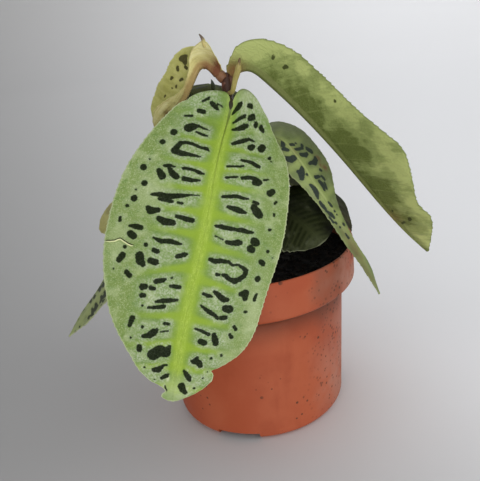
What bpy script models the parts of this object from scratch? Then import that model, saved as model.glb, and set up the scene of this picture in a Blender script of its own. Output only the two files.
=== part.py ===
"""Potted labisia: a low rainforest plant with patterned leaves, in a terracotta-coloured nursery pot.

The origin is the centre of the pot's underside, +Z is up and the photograph looks along +Y.
Every leaf is a thin blade on a curved midrib; blade, midrib and petiole are one solid.
"""
from dataclasses import dataclass

import bmesh
import bpy
import numpy as np
from mathutils import Matrix

# Driving dimensions, in metres
MM = 0.001
GAP = 0.3 * MM

RIM_RADIUS = 52.5 * MM
POT_HEIGHT = 86.6 * MM
BAND_HEIGHT = 23.3 * MM
BODY_RADIUS = 46.2 * MM
FOOT_RADIUS = 43.3 * MM
WALL = 1.3 * MM
FLOOR = 1.6 * MM
FOOT_ROUND = 4.0 * MM
INNER_ROUND = 2.5 * MM
BAND_STRAIGHT = 17.0 * MM
BAND_STEPS = 5
CHANNEL_INNER = 26.0 * MM
CHANNEL_OUTER = 37.0 * MM
CHANNEL_RISE = 2.5 * MM
CHANNEL_SLOPE = 1.5 * MM
POT_SEGMENTS = 56
ROUND_STEPS = 4
WELD = 0.01 * MM

NOTCH_COUNT = 3
NOTCH_WIDTH = 21.0 * MM
NOTCH_HEIGHT = 4.0 * MM
NOTCH_ANGLE = -108.4
DRAIN_COUNT = 6
DRAIN_RADIUS = 3.2 * MM
DRAIN_SIDES = 16

SOIL_TOP = 78.5 * MM
SOIL_LUMP = 1.1 * MM
SOIL_RINGS = 6
# The lumps' waves, in radians a metre: across, along, and a slanted one with its share of the height
LUMP_ACROSS = 210
LUMP_ALONG = 170
LUMP_SLANT = (250, 330)
LUMP_SLANT_SHARE = 0.6
LUMP_PHASES = (1.3, -0.4)
STEM_HOLE_FLOOR = 61.5 * MM

BLADE_THICKNESS = 0.7 * MM
BUD_STATIONS = 8

# The leaves' own sizes, in millimetres: the midrib's radii, where along the blade it ends, how deep it sinks
PETIOLE_RADIUS = 1.45
RIB_TIP_RADIUS = 0.45
RIB_END = 0.93
RIB_SINK = 0.45
RIB_STEP = 8.0
RIB_SLOPE_STEP = 1.0
MIN_HALF_WIDTH = 0.4
LOBE_SHARE = 0.14
LOBE_FALL = 0.65
SINUS_REACH = 0.08
HALF_PHASE = 2.2
FLAT_CURL = 0.001

# The stem's centre line from its foot in the soil to its top, and its radius at each point
STEM_LINE = (
    (2.0, 1.0, 62.0), (1.5, 0.8, 95.0), (0.0, 0.3, 130.0), (-0.8, 0.0, 150.0),
    (-0.9, 0.2, 160.0), (-0.9, 0.4, 166.5),
)
STEM_RADII = (2.7, 2.5, 2.3, 2.2, 2.5, 2.9)

# The rolled young leaf's centre line and radius
BUD_LINE = (
    (-0.8, 0.0, 161.4), (0.0, -3.0, 161.1), (1.2, -5.0, 162.3), (2.4, -6.2, 165.2),
    (4.0, -7.2, 168.5), (5.2, -7.9, 171.8), (6.0, -8.4, 174.7),
)
BUD_RADII = (1.2, 1.25, 1.35, 1.6, 1.5, 0.3)


# Outlines of a half blade: (share of the blade's length, share of the half width)
OVAL = (
    (0, 0.05), (0.04, 0.20), (0.12, 0.50), (0.25, 0.82), (0.40, 0.98), (0.50, 1.0), (0.62, 0.95),
    (0.75, 0.77), (0.87, 0.48), (0.95, 0.22), (1, 0.04),
)
BROAD = (
    (0, 0.15), (0.04, 0.40), (0.12, 0.68), (0.25, 0.90), (0.40, 1.0), (0.50, 1.0), (0.62, 0.93),
    (0.75, 0.72), (0.87, 0.42), (0.95, 0.18), (1, 0.03),
)
BLUNT = (
    (0, 0.05), (0.04, 0.20), (0.12, 0.50), (0.25, 0.82), (0.40, 0.98), (0.55, 1.0), (0.70, 0.95),
    (0.82, 0.82), (0.91, 0.60), (0.97, 0.35), (1, 0.10),
)
LATE_FAR = (
    (0, 0.45), (0.05, 0.95), (0.10, 1.10), (0.16, 1.0), (0.25, 0.86), (0.37, 0.77), (0.45, 0.62),
    (0.50, 0.48), (0.55, 0.36), (0.60, 0.25), (0.66, 0.15), (0.70, 0.08), (0.75, 0.06), (0.80, 0.13),
    (0.85, 0.25), (0.90, 0.27), (0.95, 0.15), (1, 0.03),
)
LATE_NEAR = (
    (0, 0.25), (0.10, 0.70), (0.25, 0.95), (0.38, 0.95), (0.45, 0.74), (0.52, 0.62), (0.60, 0.58),
    (0.68, 0.54), (0.77, 0.42), (0.87, 0.27), (0.95, 0.16), (1, 0.03),
)
FRONT_LEFT = (
    (0, 0.46), (0.03, 0.56), (0.07, 0.64), (0.12, 0.715), (0.20, 0.825), (0.30, 0.945), (0.38, 1.0),
    (0.46, 1.02), (0.54, 1.01), (0.61, 0.965), (0.68, 0.885), (0.74, 0.80), (0.80, 0.675), (0.86, 0.52),
    (0.91, 0.385), (0.95, 0.25), (0.98, 0.11), (1, 0.03),
)
FRONT_RIGHT = (
    (0, 0.38), (0.04, 0.53), (0.08, 0.68), (0.12, 0.80), (0.18, 0.88), (0.25, 0.935), (0.33, 0.955),
    (0.42, 0.965), (0.50, 0.95), (0.58, 0.92), (0.66, 0.90), (0.73, 0.88), (0.79, 0.83), (0.83, 0.76),
    (0.86, 0.655), (0.885, 0.52), (0.897, 0.43), (0.91, 0.46), (0.935, 0.45), (0.965, 0.34),
    (0.985, 0.21), (1, 0.05),
)
RIGHT_NEAR = (
    (0, 0.11), (0.03, 0.23), (0.06, 0.45), (0.09, 0.61), (0.12, 0.71), (0.16, 0.79), (0.22, 0.82),
    (0.30, 0.86), (0.35, 0.92), (0.40, 1.03), (0.45, 1.17), (0.50, 1.30), (0.54, 1.34), (0.58, 1.29),
    (0.64, 1.13), (0.70, 0.98), (0.775, 0.82), (0.80, 0.83), (0.82, 0.85), (0.85, 0.79), (0.88, 0.67),
    (0.92, 0.47), (0.96, 0.26), (1, 0.05),
)
YOUNG_NEAR = (
    (0, 0.40), (0.04, 0.55), (0.08, 0.65), (0.12, 0.87), (0.155, 1.13), (0.19, 1.0), (0.22, 0.74),
    (0.26, 0.52), (0.32, 0.38), (0.40, 0.27), (0.46, 0.29), (0.52, 0.46), (0.60, 0.70), (0.72, 0.80),
    (0.84, 0.86), (0.93, 0.55), (1, 0.06),
)
YOUNG_FAR = (
    (0, 0.15), (0.06, 0.18), (0.12, 0.26), (0.16, 0.42), (0.20, 0.58), (0.25, 0.77), (0.30, 0.84),
    (0.38, 0.93), (0.46, 0.99), (0.60, 0.96), (0.76, 1.0), (0.86, 0.92), (0.94, 0.66), (1, 0.06),
)

# Colours, read off the photograph by eye: linear RGB, roughness
FINISHES = {
    "pot": ((0.42, 0.115, 0.055), 0.55),
    "soil": ((0.012, 0.010, 0.008), 0.95),
    "stem": ((0.075, 0.022, 0.020), 0.45),
    "bud": ((0.30, 0.26, 0.07), 0.5),
    "leaf_front": ((0.22, 0.31, 0.11), 0.45),
    "leaf_right": ((0.19, 0.24, 0.075), 0.5),
    "leaf_left": ((0.33, 0.29, 0.12), 0.5),
    "leaf_low_right": ((0.12, 0.16, 0.05), 0.45),
    "leaf_inner_right": ((0.05, 0.07, 0.025), 0.5),
    "leaf_back_right": ((0.05, 0.045, 0.03), 0.5),
    "leaf_back_left": ((0.15, 0.19, 0.06), 0.5),
    "leaf_low_left": ((0.13, 0.16, 0.06), 0.5),
    "leaf_back": ((0.07, 0.11, 0.04), 0.5),
}


@dataclass
class Leaf:
    """One leaf, in millimetres and degrees; each pair is its left and its right half, seen from the base."""

    name: str
    path: tuple
    petiole: float
    half_width: tuple
    face: tuple
    fold: tuple = ((0, 0, 0), (0, 0, 0))
    curl: tuple = ((-20, -20, -10), (-20, -20, -10))
    outline: tuple = (OVAL, OVAL)
    lobe: tuple = (0, 0)
    wave: float = 1.0
    waves: float = 3.0
    tooth: float = 0.5
    petiole_radius: float = PETIOLE_RADIUS
    row_step: float = 4.6
    columns: tuple = (-1, -0.68, -0.34, 0, 0.34, 0.68, 1)
    spur: tuple = ()
    spur_radii: tuple = ()


FRONT_COLUMNS = (-1, -0.72, -0.44, -0.2, -0.08, 0, 0.08, 0.2, 0.44, 0.72, 1)

LEAVES = (
    Leaf(
        "leaf_front",
        ((-0.8, 0, 156.5), (-0.3, -4.5, 157.4), (0.1, -8, 156.4), (-0.4, -11, 153.8),
         (-2.6, -17, 148.6), (-5.9, -27, 142), (-12, -44, 125.5), (-17, -54, 110.5),
         (-23.5, -62, 93), (-30.5, -67, 71.5), (-37.4, -69, 46.3)),
        12.0, (35.5, 38), ((0.2, -0.75, 0.6), (0.2, -0.93, 0.36), (0.2, -0.95, 0.25)),
        fold=((4, 2, 0), (4, 0, 0)), curl=((-10, -20, -20), (-8, -16, -10)),
        outline=(FRONT_RIGHT, FRONT_LEFT), lobe=(12, 8), wave=0.5, row_step=3.7, columns=FRONT_COLUMNS,
    ),
    Leaf(
        "leaf_right",
        ((0.2, 0.8, 162), (1.1, 0.7, 165.6), (4.2, -0.4, 169.2), (9.5, -2, 170.2), (17.5, -3, 164.4),
         (31, -4, 149.2), (52.5, -6, 121), (75, -8, 89.5), (88, -8, 74)),
        5.5, (26, 28), ((0.1, 0, 0.95), (0.65, -0.1, 0.75), (0.75, 0, 0.65)),
        fold=((60, 30, 20), (60, 40, 34)), curl=((0, 0, 0), (0, 0, 0)), outline=(BROAD, RIGHT_NEAR),
        wave=0.8, petiole_radius=1.6, row_step=4.2,
    ),
    Leaf(
        "leaf_left",
        ((-1.6, 0.6, 161.5), (-2.0, 0.7, 165.4), (-3.9, 1.2, 168.6), (-6.3, 2, 171.4), (-9.1, 3, 172.9),
         (-11.9, 4, 172.3), (-14.1, 4.7, 169.8), (-16.5, 5.6, 165.2), (-21, 6.6, 158.2), (-28.8, 8, 150.2),
         (-36.5, 10, 143)),
        7, (10, 16), ((-0.3, 0, 0.95), (-0.65, -0.1, 0.75), (-0.6, 0, 0.8)),
        fold=((70, 70, 60), (65, 60, 45)), curl=((0, 0, 0), (0, 0, 0)), outline=(YOUNG_NEAR, YOUNG_FAR),
        wave=0.8, petiole_radius=1.95, row_step=3.4,
        spur=((-8.9, -2.9, 180.2), (-8.9, -3.1, 183.2), (-10.3, -3.2, 186.2)), spur_radii=(1.2, 0.8, 0.3),
    ),
    Leaf(
        "leaf_low_right",
        ((0.4, 0.4, 122), (6.5, -4, 132.6), (14.9, -8, 139.8), (22.9, -12, 138.6), (27.8, -16, 133),
         (33.2, -22, 123.8), (40, -29, 109.4), (47, -36, 94.4), (55.4, -45, 73)),
        12, (19, 12), ((0.2, -0.3, 0.93), (0.45, -0.5, 0.7), (0.75, -0.2, 0.7)),
        fold=((0, 0, 15), (-5, -2, 0)), curl=((-20, -20, -30), (-20, -20, -20)),
        outline=(LATE_FAR, LATE_NEAR), wave=0.5,
    ),
    Leaf(
        "leaf_inner_right",
        ((1.0, 0.6, 108), (9, -5, 108.5), (20, -10, 103.5), (29, -15, 96.5), (35.3, -19.5, 89)),
        7, (26, 19.5), ((0, -0.3, 0.95), (0, -0.4, 0.9), (0.2, -0.4, 0.9)), outline=(BLUNT, BLUNT),
    ),
    Leaf(
        "leaf_back_right",
        ((0.8, 0.6, 112), (14, 13, 121), (30, 24, 116), (45, 32, 99), (55, 37, 80), (59, 39, 67)),
        9, (28, 19), ((0.1, 0.1, 0.95), (0.6, 0.3, 0.7), (0.8, 0.4, 0.3)),
    ),
    Leaf(
        "leaf_back_left",
        ((0.7, 0.6, 113), (-14, 7, 122), (-34, 11, 121.5), (-56, 12, 109.5), (-73, 10, 97)),
        10, (17, 17), ((-0.1, -0.2, 0.95), (-0.35, -0.25, 0.85), (-0.5, -0.6, 0.7)), outline=(BLUNT, BLUNT),
    ),
    Leaf(
        "leaf_low_left",
        ((1.2, 0.7, 96), (-18, -6, 107), (-45, -12, 97.5), (-70, -17, 76.5), (-90.5, -20, 55)),
        12, (15, 15), ((-0.1, -0.1, 0.95), (-0.4, -0.05, 0.9), (-0.5, -0.35, 0.8)),
        curl=((-10, -10, -10), (-10, -10, -10)), outline=(BROAD, BROAD),
    ),
    Leaf(
        "leaf_back",
        ((-0.7, 0, 146), (-5, 11, 156.5), (-9, 27, 161), (-13, 48, 152), (-17, 67, 131), (-20, 80, 104)),
        9, (19, 20), ((0.1, -0.3, 0.9), (0.2, 0.5, 0.8), (0.2, 0.9, 0.4)),
        curl=((-30, -30, -20), (-30, -30, -20)),
    ),
)


class Rib:
    """A leaf's midrib: a natural cubic spline through the path's points, read by the distance along it."""

    SAMPLES = 600
    TANGENT_STEP = 0.6

    def __init__(self, path, start=0.0):
        points = np.array(path, float)
        chord = np.r_[0, np.cumsum(np.linalg.norm(np.diff(points, axis=0), axis=1))]
        self.points = cubic(chord, points, np.linspace(0, chord[-1], self.SAMPLES))
        self.arc = np.r_[0, np.cumsum(np.linalg.norm(np.diff(self.points, axis=0), axis=1))]
        self.start = start
        self.total = self.arc[-1]

    def on_line(self, arc):
        return np.array([np.interp(arc, self.arc, column) for column in self.points.T])

    def slope(self, arc, step):
        """Direction of the line, read between a step behind and a step ahead."""
        return unit(self.on_line(min(arc + step, self.total)) - self.on_line(max(arc - step, 0)))

    def at(self, arc):
        """Point and tangent; before the blade's base and past its tip the line runs on straight."""
        inside = np.clip(arc, self.start, self.total)
        tangent = self.slope(inside, self.TANGENT_STEP)
        return self.on_line(inside) + tangent * (arc - inside), tangent


def cubic(knots, values, where):
    """Natural cubic spline through the rows of values, read at the given places."""
    count = len(knots)
    width = np.diff(knots)
    system = np.eye(count)
    bend_drive = np.zeros_like(values)
    for row in range(1, count - 1):
        system[row, row - 1:row + 2] = width[row - 1], 2 * (width[row - 1] + width[row]), width[row]
        slope_after = (values[row + 1] - values[row]) / width[row]
        slope_before = (values[row] - values[row - 1]) / width[row - 1]
        bend_drive[row] = 6 * (slope_after - slope_before)
    bend = np.linalg.solve(system, bend_drive)
    piece = np.clip(np.searchsorted(knots, where, side="right") - 1, 0, count - 2)
    span = width[piece][:, None]
    after = (knots[piece + 1] - where)[:, None] / span
    before = 1 - after
    return (
        after * values[piece] + before * values[piece + 1]
        + ((after**3 - after) * bend[piece] + (before**3 - before) * bend[piece + 1]) * span**2 / 6
    )


def unit(vector):
    return vector / np.linalg.norm(vector)


def along_blade(values, share):
    """A value or vector at a share of the blade's length, from those at its base, middle and tip."""
    return np.array([np.interp(share, (0, 0.5, 1), column) for column in np.array(values, float).T])


def breadth(outline, share):
    """The outline's breadth at a share of the length, on a smooth line through its points."""
    shares, widths = np.array(outline, float).T
    slopes = np.gradient(widths, shares)
    piece = min(max(np.searchsorted(shares, share, side="right") - 1, 0), len(shares) - 2)
    span = shares[piece + 1] - shares[piece]
    t = (share - shares[piece]) / span
    return (
        (2 * t**3 - 3 * t**2 + 1) * widths[piece] + (t**3 - 2 * t**2 + t) * span * slopes[piece]
        + (3 * t**2 - 2 * t**3) * widths[piece + 1] + (t**3 - t**2) * span * slopes[piece + 1]
    )


def blade_point(leaf, rib, share, side, tooth):
    """A point midway through the blade, in millimetres; side is -1 at the left margin, 1 at the right."""
    half = int(side > 0)
    reach = abs(side)
    width = max(breadth(leaf.outline[half], share) * leaf.half_width[half], MIN_HALF_WIDTH)
    width -= tooth * reach**8
    back = max(1 - share / LOBE_SHARE, 0) ** 2 * (1 - LOBE_FALL * reach**2.5) * min(1, reach / SINUS_REACH)
    point, tangent = rib.at(rib.start + (rib.total - rib.start) * share - leaf.lobe[half] * back)
    face = along_blade(leaf.face, share)
    normal = unit(face - tangent * np.dot(face, tangent))
    across = np.cross(tangent, normal)
    fold = np.radians(np.interp(share, (0, 0.5, 1), leaf.fold[half]))
    curl = np.radians(np.interp(share, (0, 0.5, 1), leaf.curl[half]) + FLAT_CURL)
    out = width * (np.sin(fold + curl * reach) - np.sin(fold)) / curl
    lift = width * (np.cos(fold) - np.cos(fold + curl * reach)) / curl
    ripple = np.sin(2 * np.pi * leaf.waves * share + HALF_PHASE * half) * np.sin(np.pi * share)
    return point + across * np.sign(side) * out + normal * (lift + leaf.wave * reach**2 * ripple)


def collection(name):
    made = bpy.data.collections.new(name)
    bpy.context.scene.collection.children.link(made)
    return made


def finish(name):
    """The object's own Principled material."""
    colour, roughness = FINISHES[name]
    material = bpy.data.materials.new(name)
    material.use_nodes = True
    principled = material.node_tree.nodes["Principled BSDF"]
    principled.inputs["Base Color"].default_value = (*colour, 1)
    principled.inputs["Roughness"].default_value = roughness
    material.diffuse_color = (*colour, 1)
    return material


def add_object(name, mesh, target):
    made = bpy.data.objects.new(name, mesh)
    target.objects.link(made)
    if name in FINISHES:
        made.data.materials.append(finish(name))
    return made


def as_cutter(piece):
    piece.hide_render = True
    piece.display_type = "WIRE"
    return piece


def add_boolean(piece, other, operation):
    modifier = piece.modifiers.new(operation.title(), "BOOLEAN")
    modifier.operation = operation
    modifier.object = other


def tube(name, points, radii, target, sides_resolution=1):
    """A round tube along points in metres, with its own radius at each and closed ends, as a mesh."""
    curve = bpy.data.curves.new(name, "CURVE")
    curve.dimensions = "3D"
    curve.bevel_depth = 1.0
    curve.bevel_resolution = sides_resolution
    curve.use_fill_caps = True
    curve.resolution_u = 1
    line = curve.splines.new("POLY")
    line.points.add(len(points) - 1)
    for spot, place, radius in zip(line.points, points, radii):
        spot.co = (*place, 1)
        spot.radius = radius
    carrier = bpy.data.objects.new(name, curve)
    target.objects.link(carrier)
    depsgraph = bpy.context.evaluated_depsgraph_get()
    mesh = bpy.data.meshes.new_from_object(carrier.evaluated_get(depsgraph))
    bpy.data.objects.remove(carrier)
    bpy.data.curves.remove(curve)
    shell = bmesh.new()
    shell.from_mesh(mesh)
    bmesh.ops.remove_doubles(shell, verts=shell.verts, dist=WELD)
    bmesh.ops.recalc_face_normals(shell, faces=shell.faces)
    shell.to_mesh(mesh)
    shell.free()
    mesh.materials.clear()
    mesh.shade_smooth()
    return add_object(name, mesh, target)


def turned(name, profile, target, segments):
    """A solid of revolution about Z from a profile of (radius, height) that runs down its outer side."""
    outline = bmesh.new()
    corners = [outline.verts.new((radius, 0, height)) for radius, height in profile]
    for start, end in zip(corners, corners[1:]):
        outline.edges.new((start, end))
    mesh = bpy.data.meshes.new(name)
    outline.to_mesh(mesh)
    outline.free()
    piece = add_object(name, mesh, target)
    screw = piece.modifiers.new("Screw", "SCREW")
    screw.steps = segments
    screw.render_steps = segments
    screw.use_merge_vertices = True
    screw.merge_threshold = WELD
    screw.use_smooth_shade = True
    return piece


def applied(piece):
    """The piece with its modifiers applied, so that its points can be moved one by one."""
    depsgraph = bpy.context.evaluated_depsgraph_get()
    mesh = bpy.data.meshes.new_from_object(piece.evaluated_get(depsgraph))
    piece.modifiers.clear()
    piece.data = mesh
    return piece


def arc(centre, radius, start, end, steps):
    """Points of a circular arc in the profile's plane, its angles in degrees."""
    angles = np.radians(np.linspace(start, end, steps + 1))
    return [(centre[0] + radius * np.cos(a), centre[1] + radius * np.sin(a)) for a in angles]


def body_radius(height):
    """The pot's outer radius between its foot and the band."""
    return FOOT_RADIUS + (BODY_RADIUS - FOOT_RADIUS) * height / (POT_HEIGHT - BAND_HEIGHT)


def band_radius(height):
    """The outer radius of the band: upright under the rim, then a soft S in to the body."""
    share = (POT_HEIGHT - BAND_STRAIGHT - height) / (BAND_HEIGHT - BAND_STRAIGHT)
    ease = 0.5 - 0.5 * np.cos(np.pi * min(max(share, 0), 1))
    return RIM_RADIUS + (BODY_RADIUS - RIM_RADIUS) * ease


def inner_radius(height):
    """The pot's inner radius, one wall inside its outer side."""
    if height > POT_HEIGHT - BAND_HEIGHT:
        return band_radius(height) - WALL
    return body_radius(height) - WALL


def band_heights():
    return np.linspace(POT_HEIGHT - BAND_STRAIGHT, POT_HEIGHT - BAND_HEIGHT, BAND_STEPS + 1)


def floor_line(level):
    """The floor's section from the outside in, over the raised channel, at a height above its underside."""
    top = level + CHANNEL_RISE
    return [
        (CHANNEL_OUTER + CHANNEL_SLOPE, level), (CHANNEL_OUTER - CHANNEL_SLOPE, top),
        (CHANNEL_INNER + CHANNEL_SLOPE, top), (CHANNEL_INNER - CHANNEL_SLOPE, level), (0, level),
    ]


def make_pot(parts, cutters):
    inside_floor = floor_line(FLOOR)[::-1]
    foot_inside = inner_radius(FOOT_ROUND)
    inside_foot = [(foot_inside - INNER_ROUND, FLOOR), (foot_inside, FLOOR + INNER_ROUND)]
    inside_band = [(inner_radius(height), height) for height in band_heights()[::-1]]
    lip = arc((RIM_RADIUS - WALL / 2, POT_HEIGHT - WALL / 2), WALL / 2, 180, 0, ROUND_STEPS)
    outside_band = [(band_radius(height), height) for height in band_heights()]
    foot = arc((FOOT_RADIUS - FOOT_ROUND, FOOT_ROUND), FOOT_ROUND, 0, -90, ROUND_STEPS)
    profile = inside_floor + inside_foot + inside_band + lip + outside_band + foot + floor_line(0)
    pot = turned("pot", profile, parts, POT_SEGMENTS)
    for index in range(NOTCH_COUNT):
        angle = np.radians(NOTCH_ANGLE + 360 / NOTCH_COUNT * index)
        bpy.ops.mesh.primitive_cube_add(size=1)
        notch = as_cutter(bpy.context.object)
        notch.name = f"notch_{index + 1}"
        depth = 2 * (FOOT_RADIUS - CHANNEL_OUTER)
        shape = Matrix.Diagonal((depth, NOTCH_WIDTH, 2 * NOTCH_HEIGHT, 1))
        notch.data.transform(Matrix.Rotation(angle, 4, "Z") @ Matrix.Translation((FOOT_RADIUS, 0, 0)) @ shape)
        move_to(notch, cutters)
        add_boolean(pot, notch, "DIFFERENCE")
    for index in range(DRAIN_COUNT):
        angle = np.radians(360 / DRAIN_COUNT * index)
        spot = (CHANNEL_INNER + CHANNEL_OUTER) / 2
        place = (spot * np.cos(angle), spot * np.sin(angle), CHANNEL_RISE)
        height = 4 * FLOOR
        bpy.ops.mesh.primitive_cylinder_add(
            vertices=DRAIN_SIDES, radius=DRAIN_RADIUS, depth=height, location=place,
        )
        drain = as_cutter(bpy.context.object)
        drain.name = f"drain_{index + 1}"
        move_to(drain, cutters)
        add_boolean(pot, drain, "DIFFERENCE")


def move_to(piece, target):
    for owner in list(piece.users_collection):
        owner.objects.unlink(piece)
    target.objects.link(piece)


def soil_height(x, y):
    """Height of the soil's top: a few low, broad lumps that fade out towards the pot's wall."""
    lumps = np.sin(LUMP_ACROSS * x + LUMP_PHASES[0]) * np.cos(LUMP_ALONG * y + LUMP_PHASES[1])
    lumps += LUMP_SLANT_SHARE * np.sin(LUMP_SLANT[0] * x + LUMP_SLANT[1] * y)
    fade = max(0.0, 1 - (np.hypot(x, y) / RIM_RADIUS) ** 4)
    return SOIL_TOP + SOIL_LUMP * lumps * fade


def make_soil(parts, cutters):
    top_edge = inner_radius(SOIL_TOP) - GAP
    rings = [(top_edge * ring / SOIL_RINGS, SOIL_TOP) for ring in range(SOIL_RINGS + 1)]
    wall = [(inner_radius(h) - GAP, h) for h in band_heights() if h < SOIL_TOP - GAP]
    bottom = FLOOR + CHANNEL_RISE + GAP
    foot = [(inner_radius(bottom) - GAP - INNER_ROUND / 2, bottom), (0, bottom)]
    soil = applied(turned("soil", rings + wall + foot, parts, POT_SEGMENTS))
    for vertex in soil.data.vertices:
        inside = np.hypot(vertex.co.x, vertex.co.y) < top_edge - GAP
        if inside and vertex.co.z > SOIL_TOP - GAP:
            vertex.co.z = soil_height(vertex.co.x, vertex.co.y)
    points = stem_points()
    hole_foot = points[0] * (1, 1, 0) + (0, 0, STEM_HOLE_FLOOR)
    radii = [radius * MM + GAP for radius in STEM_RADII[:2]]
    hole = tube("stem_hole", [hole_foot, points[1] + (0, 0, GAP)], radii, cutters, 2)
    add_boolean(soil, as_cutter(hole), "DIFFERENCE")


def stem_points():
    return np.array(STEM_LINE) * MM


def make_stem(parts, cutters):
    """The stem, and a cutter one gap larger that trims the petioles which meet it."""
    points = stem_points()
    tube("stem", points, [radius * MM for radius in STEM_RADII], parts, 2)
    longer = np.vstack([points, points[-1] + (0, 0, GAP)])
    radii = [radius * MM + GAP for radius in (*STEM_RADII, STEM_RADII[-1])]
    return as_cutter(tube("stem_clearance", longer, radii, cutters, 2))


def make_bud(parts, clearance):
    rib = Rib(BUD_LINE)
    stations = np.linspace(0, 1, BUD_STATIONS)
    points = [rib.at(rib.total * share)[0] * MM for share in stations]
    knots = np.linspace(0, 1, len(BUD_RADII))
    radii = [np.interp(share, knots, BUD_RADII) * MM for share in stations]
    add_boolean(tube("bud", points, radii, parts, 2), clearance, "DIFFERENCE")


def make_blade(leaf, rib, parts):
    rows = round((rib.total - rib.start) / leaf.row_step)
    columns = len(leaf.columns) - 1
    grid = bmesh.new()
    bmesh.ops.create_grid(grid, x_segments=columns, y_segments=rows, size=1)
    for vertex in grid.verts:
        column = round((vertex.co.x + 1) / 2 * columns)
        row = round((vertex.co.y + 1) / 2 * rows)
        tooth = leaf.tooth if row % 2 else 0
        vertex.co = blade_point(leaf, rib, row / rows, leaf.columns[column], tooth) * MM
    bmesh.ops.triangulate(grid, faces=grid.faces, quad_method="FIXED")
    mesh = bpy.data.meshes.new(leaf.name)
    grid.to_mesh(mesh)
    grid.free()
    mesh.shade_smooth()
    blade = add_object(leaf.name, mesh, parts)
    solidify = blade.modifiers.new("Solidify", "SOLIDIFY")
    solidify.thickness = BLADE_THICKNESS
    solidify.offset = 0
    return blade


def make_midrib(leaf, rib, cutters):
    """Petiole and midrib in one tapering tube, sunk a little beneath the blade's underside."""
    end = rib.start + (rib.total - rib.start) * RIB_END
    count = round(end / RIB_STEP)
    points = []
    radii = []
    for station in range(count + 1):
        distance = end * station / count
        share = max(0.0, (distance - rib.start) / (rib.total - rib.start))
        radius = leaf.petiole_radius + (RIB_TIP_RADIUS - leaf.petiole_radius) * share / RIB_END
        tangent = rib.slope(distance, RIB_SLOPE_STEP)
        face = along_blade(leaf.face, share)
        normal = unit(face - tangent * np.dot(face, tangent))
        sunk = RIB_SINK * radius * min(1, distance / rib.start)
        points.append((rib.on_line(distance) - normal * sunk) * MM)
        radii.append(radius * MM)
    return as_cutter(tube(f"{leaf.name}_midrib", points, radii, cutters))


def make_leaf(leaf, parts, cutters, clearance):
    """Blade, midrib and, where the leaf has one, the small spur on its margin, trimmed clear of the stem."""
    rib = Rib(leaf.path, leaf.petiole)
    blade = make_blade(leaf, rib, parts)
    add_boolean(blade, make_midrib(leaf, rib, cutters), "UNION")
    if leaf.spur:
        radii = [radius * MM for radius in leaf.spur_radii]
        spur = tube(f"{leaf.name}_spur", np.array(leaf.spur) * MM, radii, cutters)
        add_boolean(blade, as_cutter(spur), "UNION")
    add_boolean(blade, clearance, "DIFFERENCE")


def main():
    for leftover in list(bpy.data.objects):
        bpy.data.objects.remove(leftover)
    parts = collection("potted_labisia")
    cutters = collection("cutters")
    make_pot(parts, cutters)
    make_soil(parts, cutters)
    clearance = make_stem(parts, cutters)
    make_bud(parts, clearance)
    for leaf in LEAVES:
        make_leaf(leaf, parts, cutters, clearance)


main()
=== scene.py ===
"""Looks of the potted labisia: fine leaves, pot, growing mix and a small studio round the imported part.

Lengths are metres, except on a leaf, whose form and markings are worked out in millimetres.
A place on a blade is (out, along): millimetres from the midrib, and from the blade's base.
"""
import logging
from dataclasses import dataclass, replace
from enum import Enum

import bpy
import numpy as np
from mathutils import Matrix


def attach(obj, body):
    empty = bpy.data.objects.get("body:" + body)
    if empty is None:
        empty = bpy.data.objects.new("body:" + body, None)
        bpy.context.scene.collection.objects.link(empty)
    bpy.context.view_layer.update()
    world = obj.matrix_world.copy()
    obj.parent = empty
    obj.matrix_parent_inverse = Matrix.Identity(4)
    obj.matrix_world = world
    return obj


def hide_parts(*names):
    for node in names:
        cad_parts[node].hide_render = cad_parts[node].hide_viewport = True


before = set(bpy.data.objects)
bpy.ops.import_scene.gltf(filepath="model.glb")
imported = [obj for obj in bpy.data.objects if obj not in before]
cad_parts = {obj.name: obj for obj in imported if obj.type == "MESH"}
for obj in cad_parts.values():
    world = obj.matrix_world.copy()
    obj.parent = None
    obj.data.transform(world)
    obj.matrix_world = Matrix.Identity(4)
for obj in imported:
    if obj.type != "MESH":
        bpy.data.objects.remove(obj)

LOG = logging.getLogger("potted_labisia")
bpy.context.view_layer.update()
BODY = "root"
MM = 0.001
# How far a tube's end stands out past its last ring, as a share of the radius there
END_BULGE = 0.4
# Millimetres from a dark mark past which nothing depends on it
FAR_FROM_MARKS = 9.0

Array = np.ndarray
Socket = bpy.types.NodeSocket
Points = tuple[tuple[float, ...], ...]
Colour = tuple[float, float, float, float]
Chain = tuple[tuple[float, float, float], ...]


def srgb(red: int, green: int, blue: int) -> Colour:
    """Linear colour for a node socket, from a screen colour of 0 to 255."""
    screen = np.array((red, green, blue)) / 255
    linear = np.where(screen <= 0.04045, screen / 12.92, ((screen + 0.055) / 1.055) ** 2.4)
    return (*linear.tolist(), 1.0)


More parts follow.
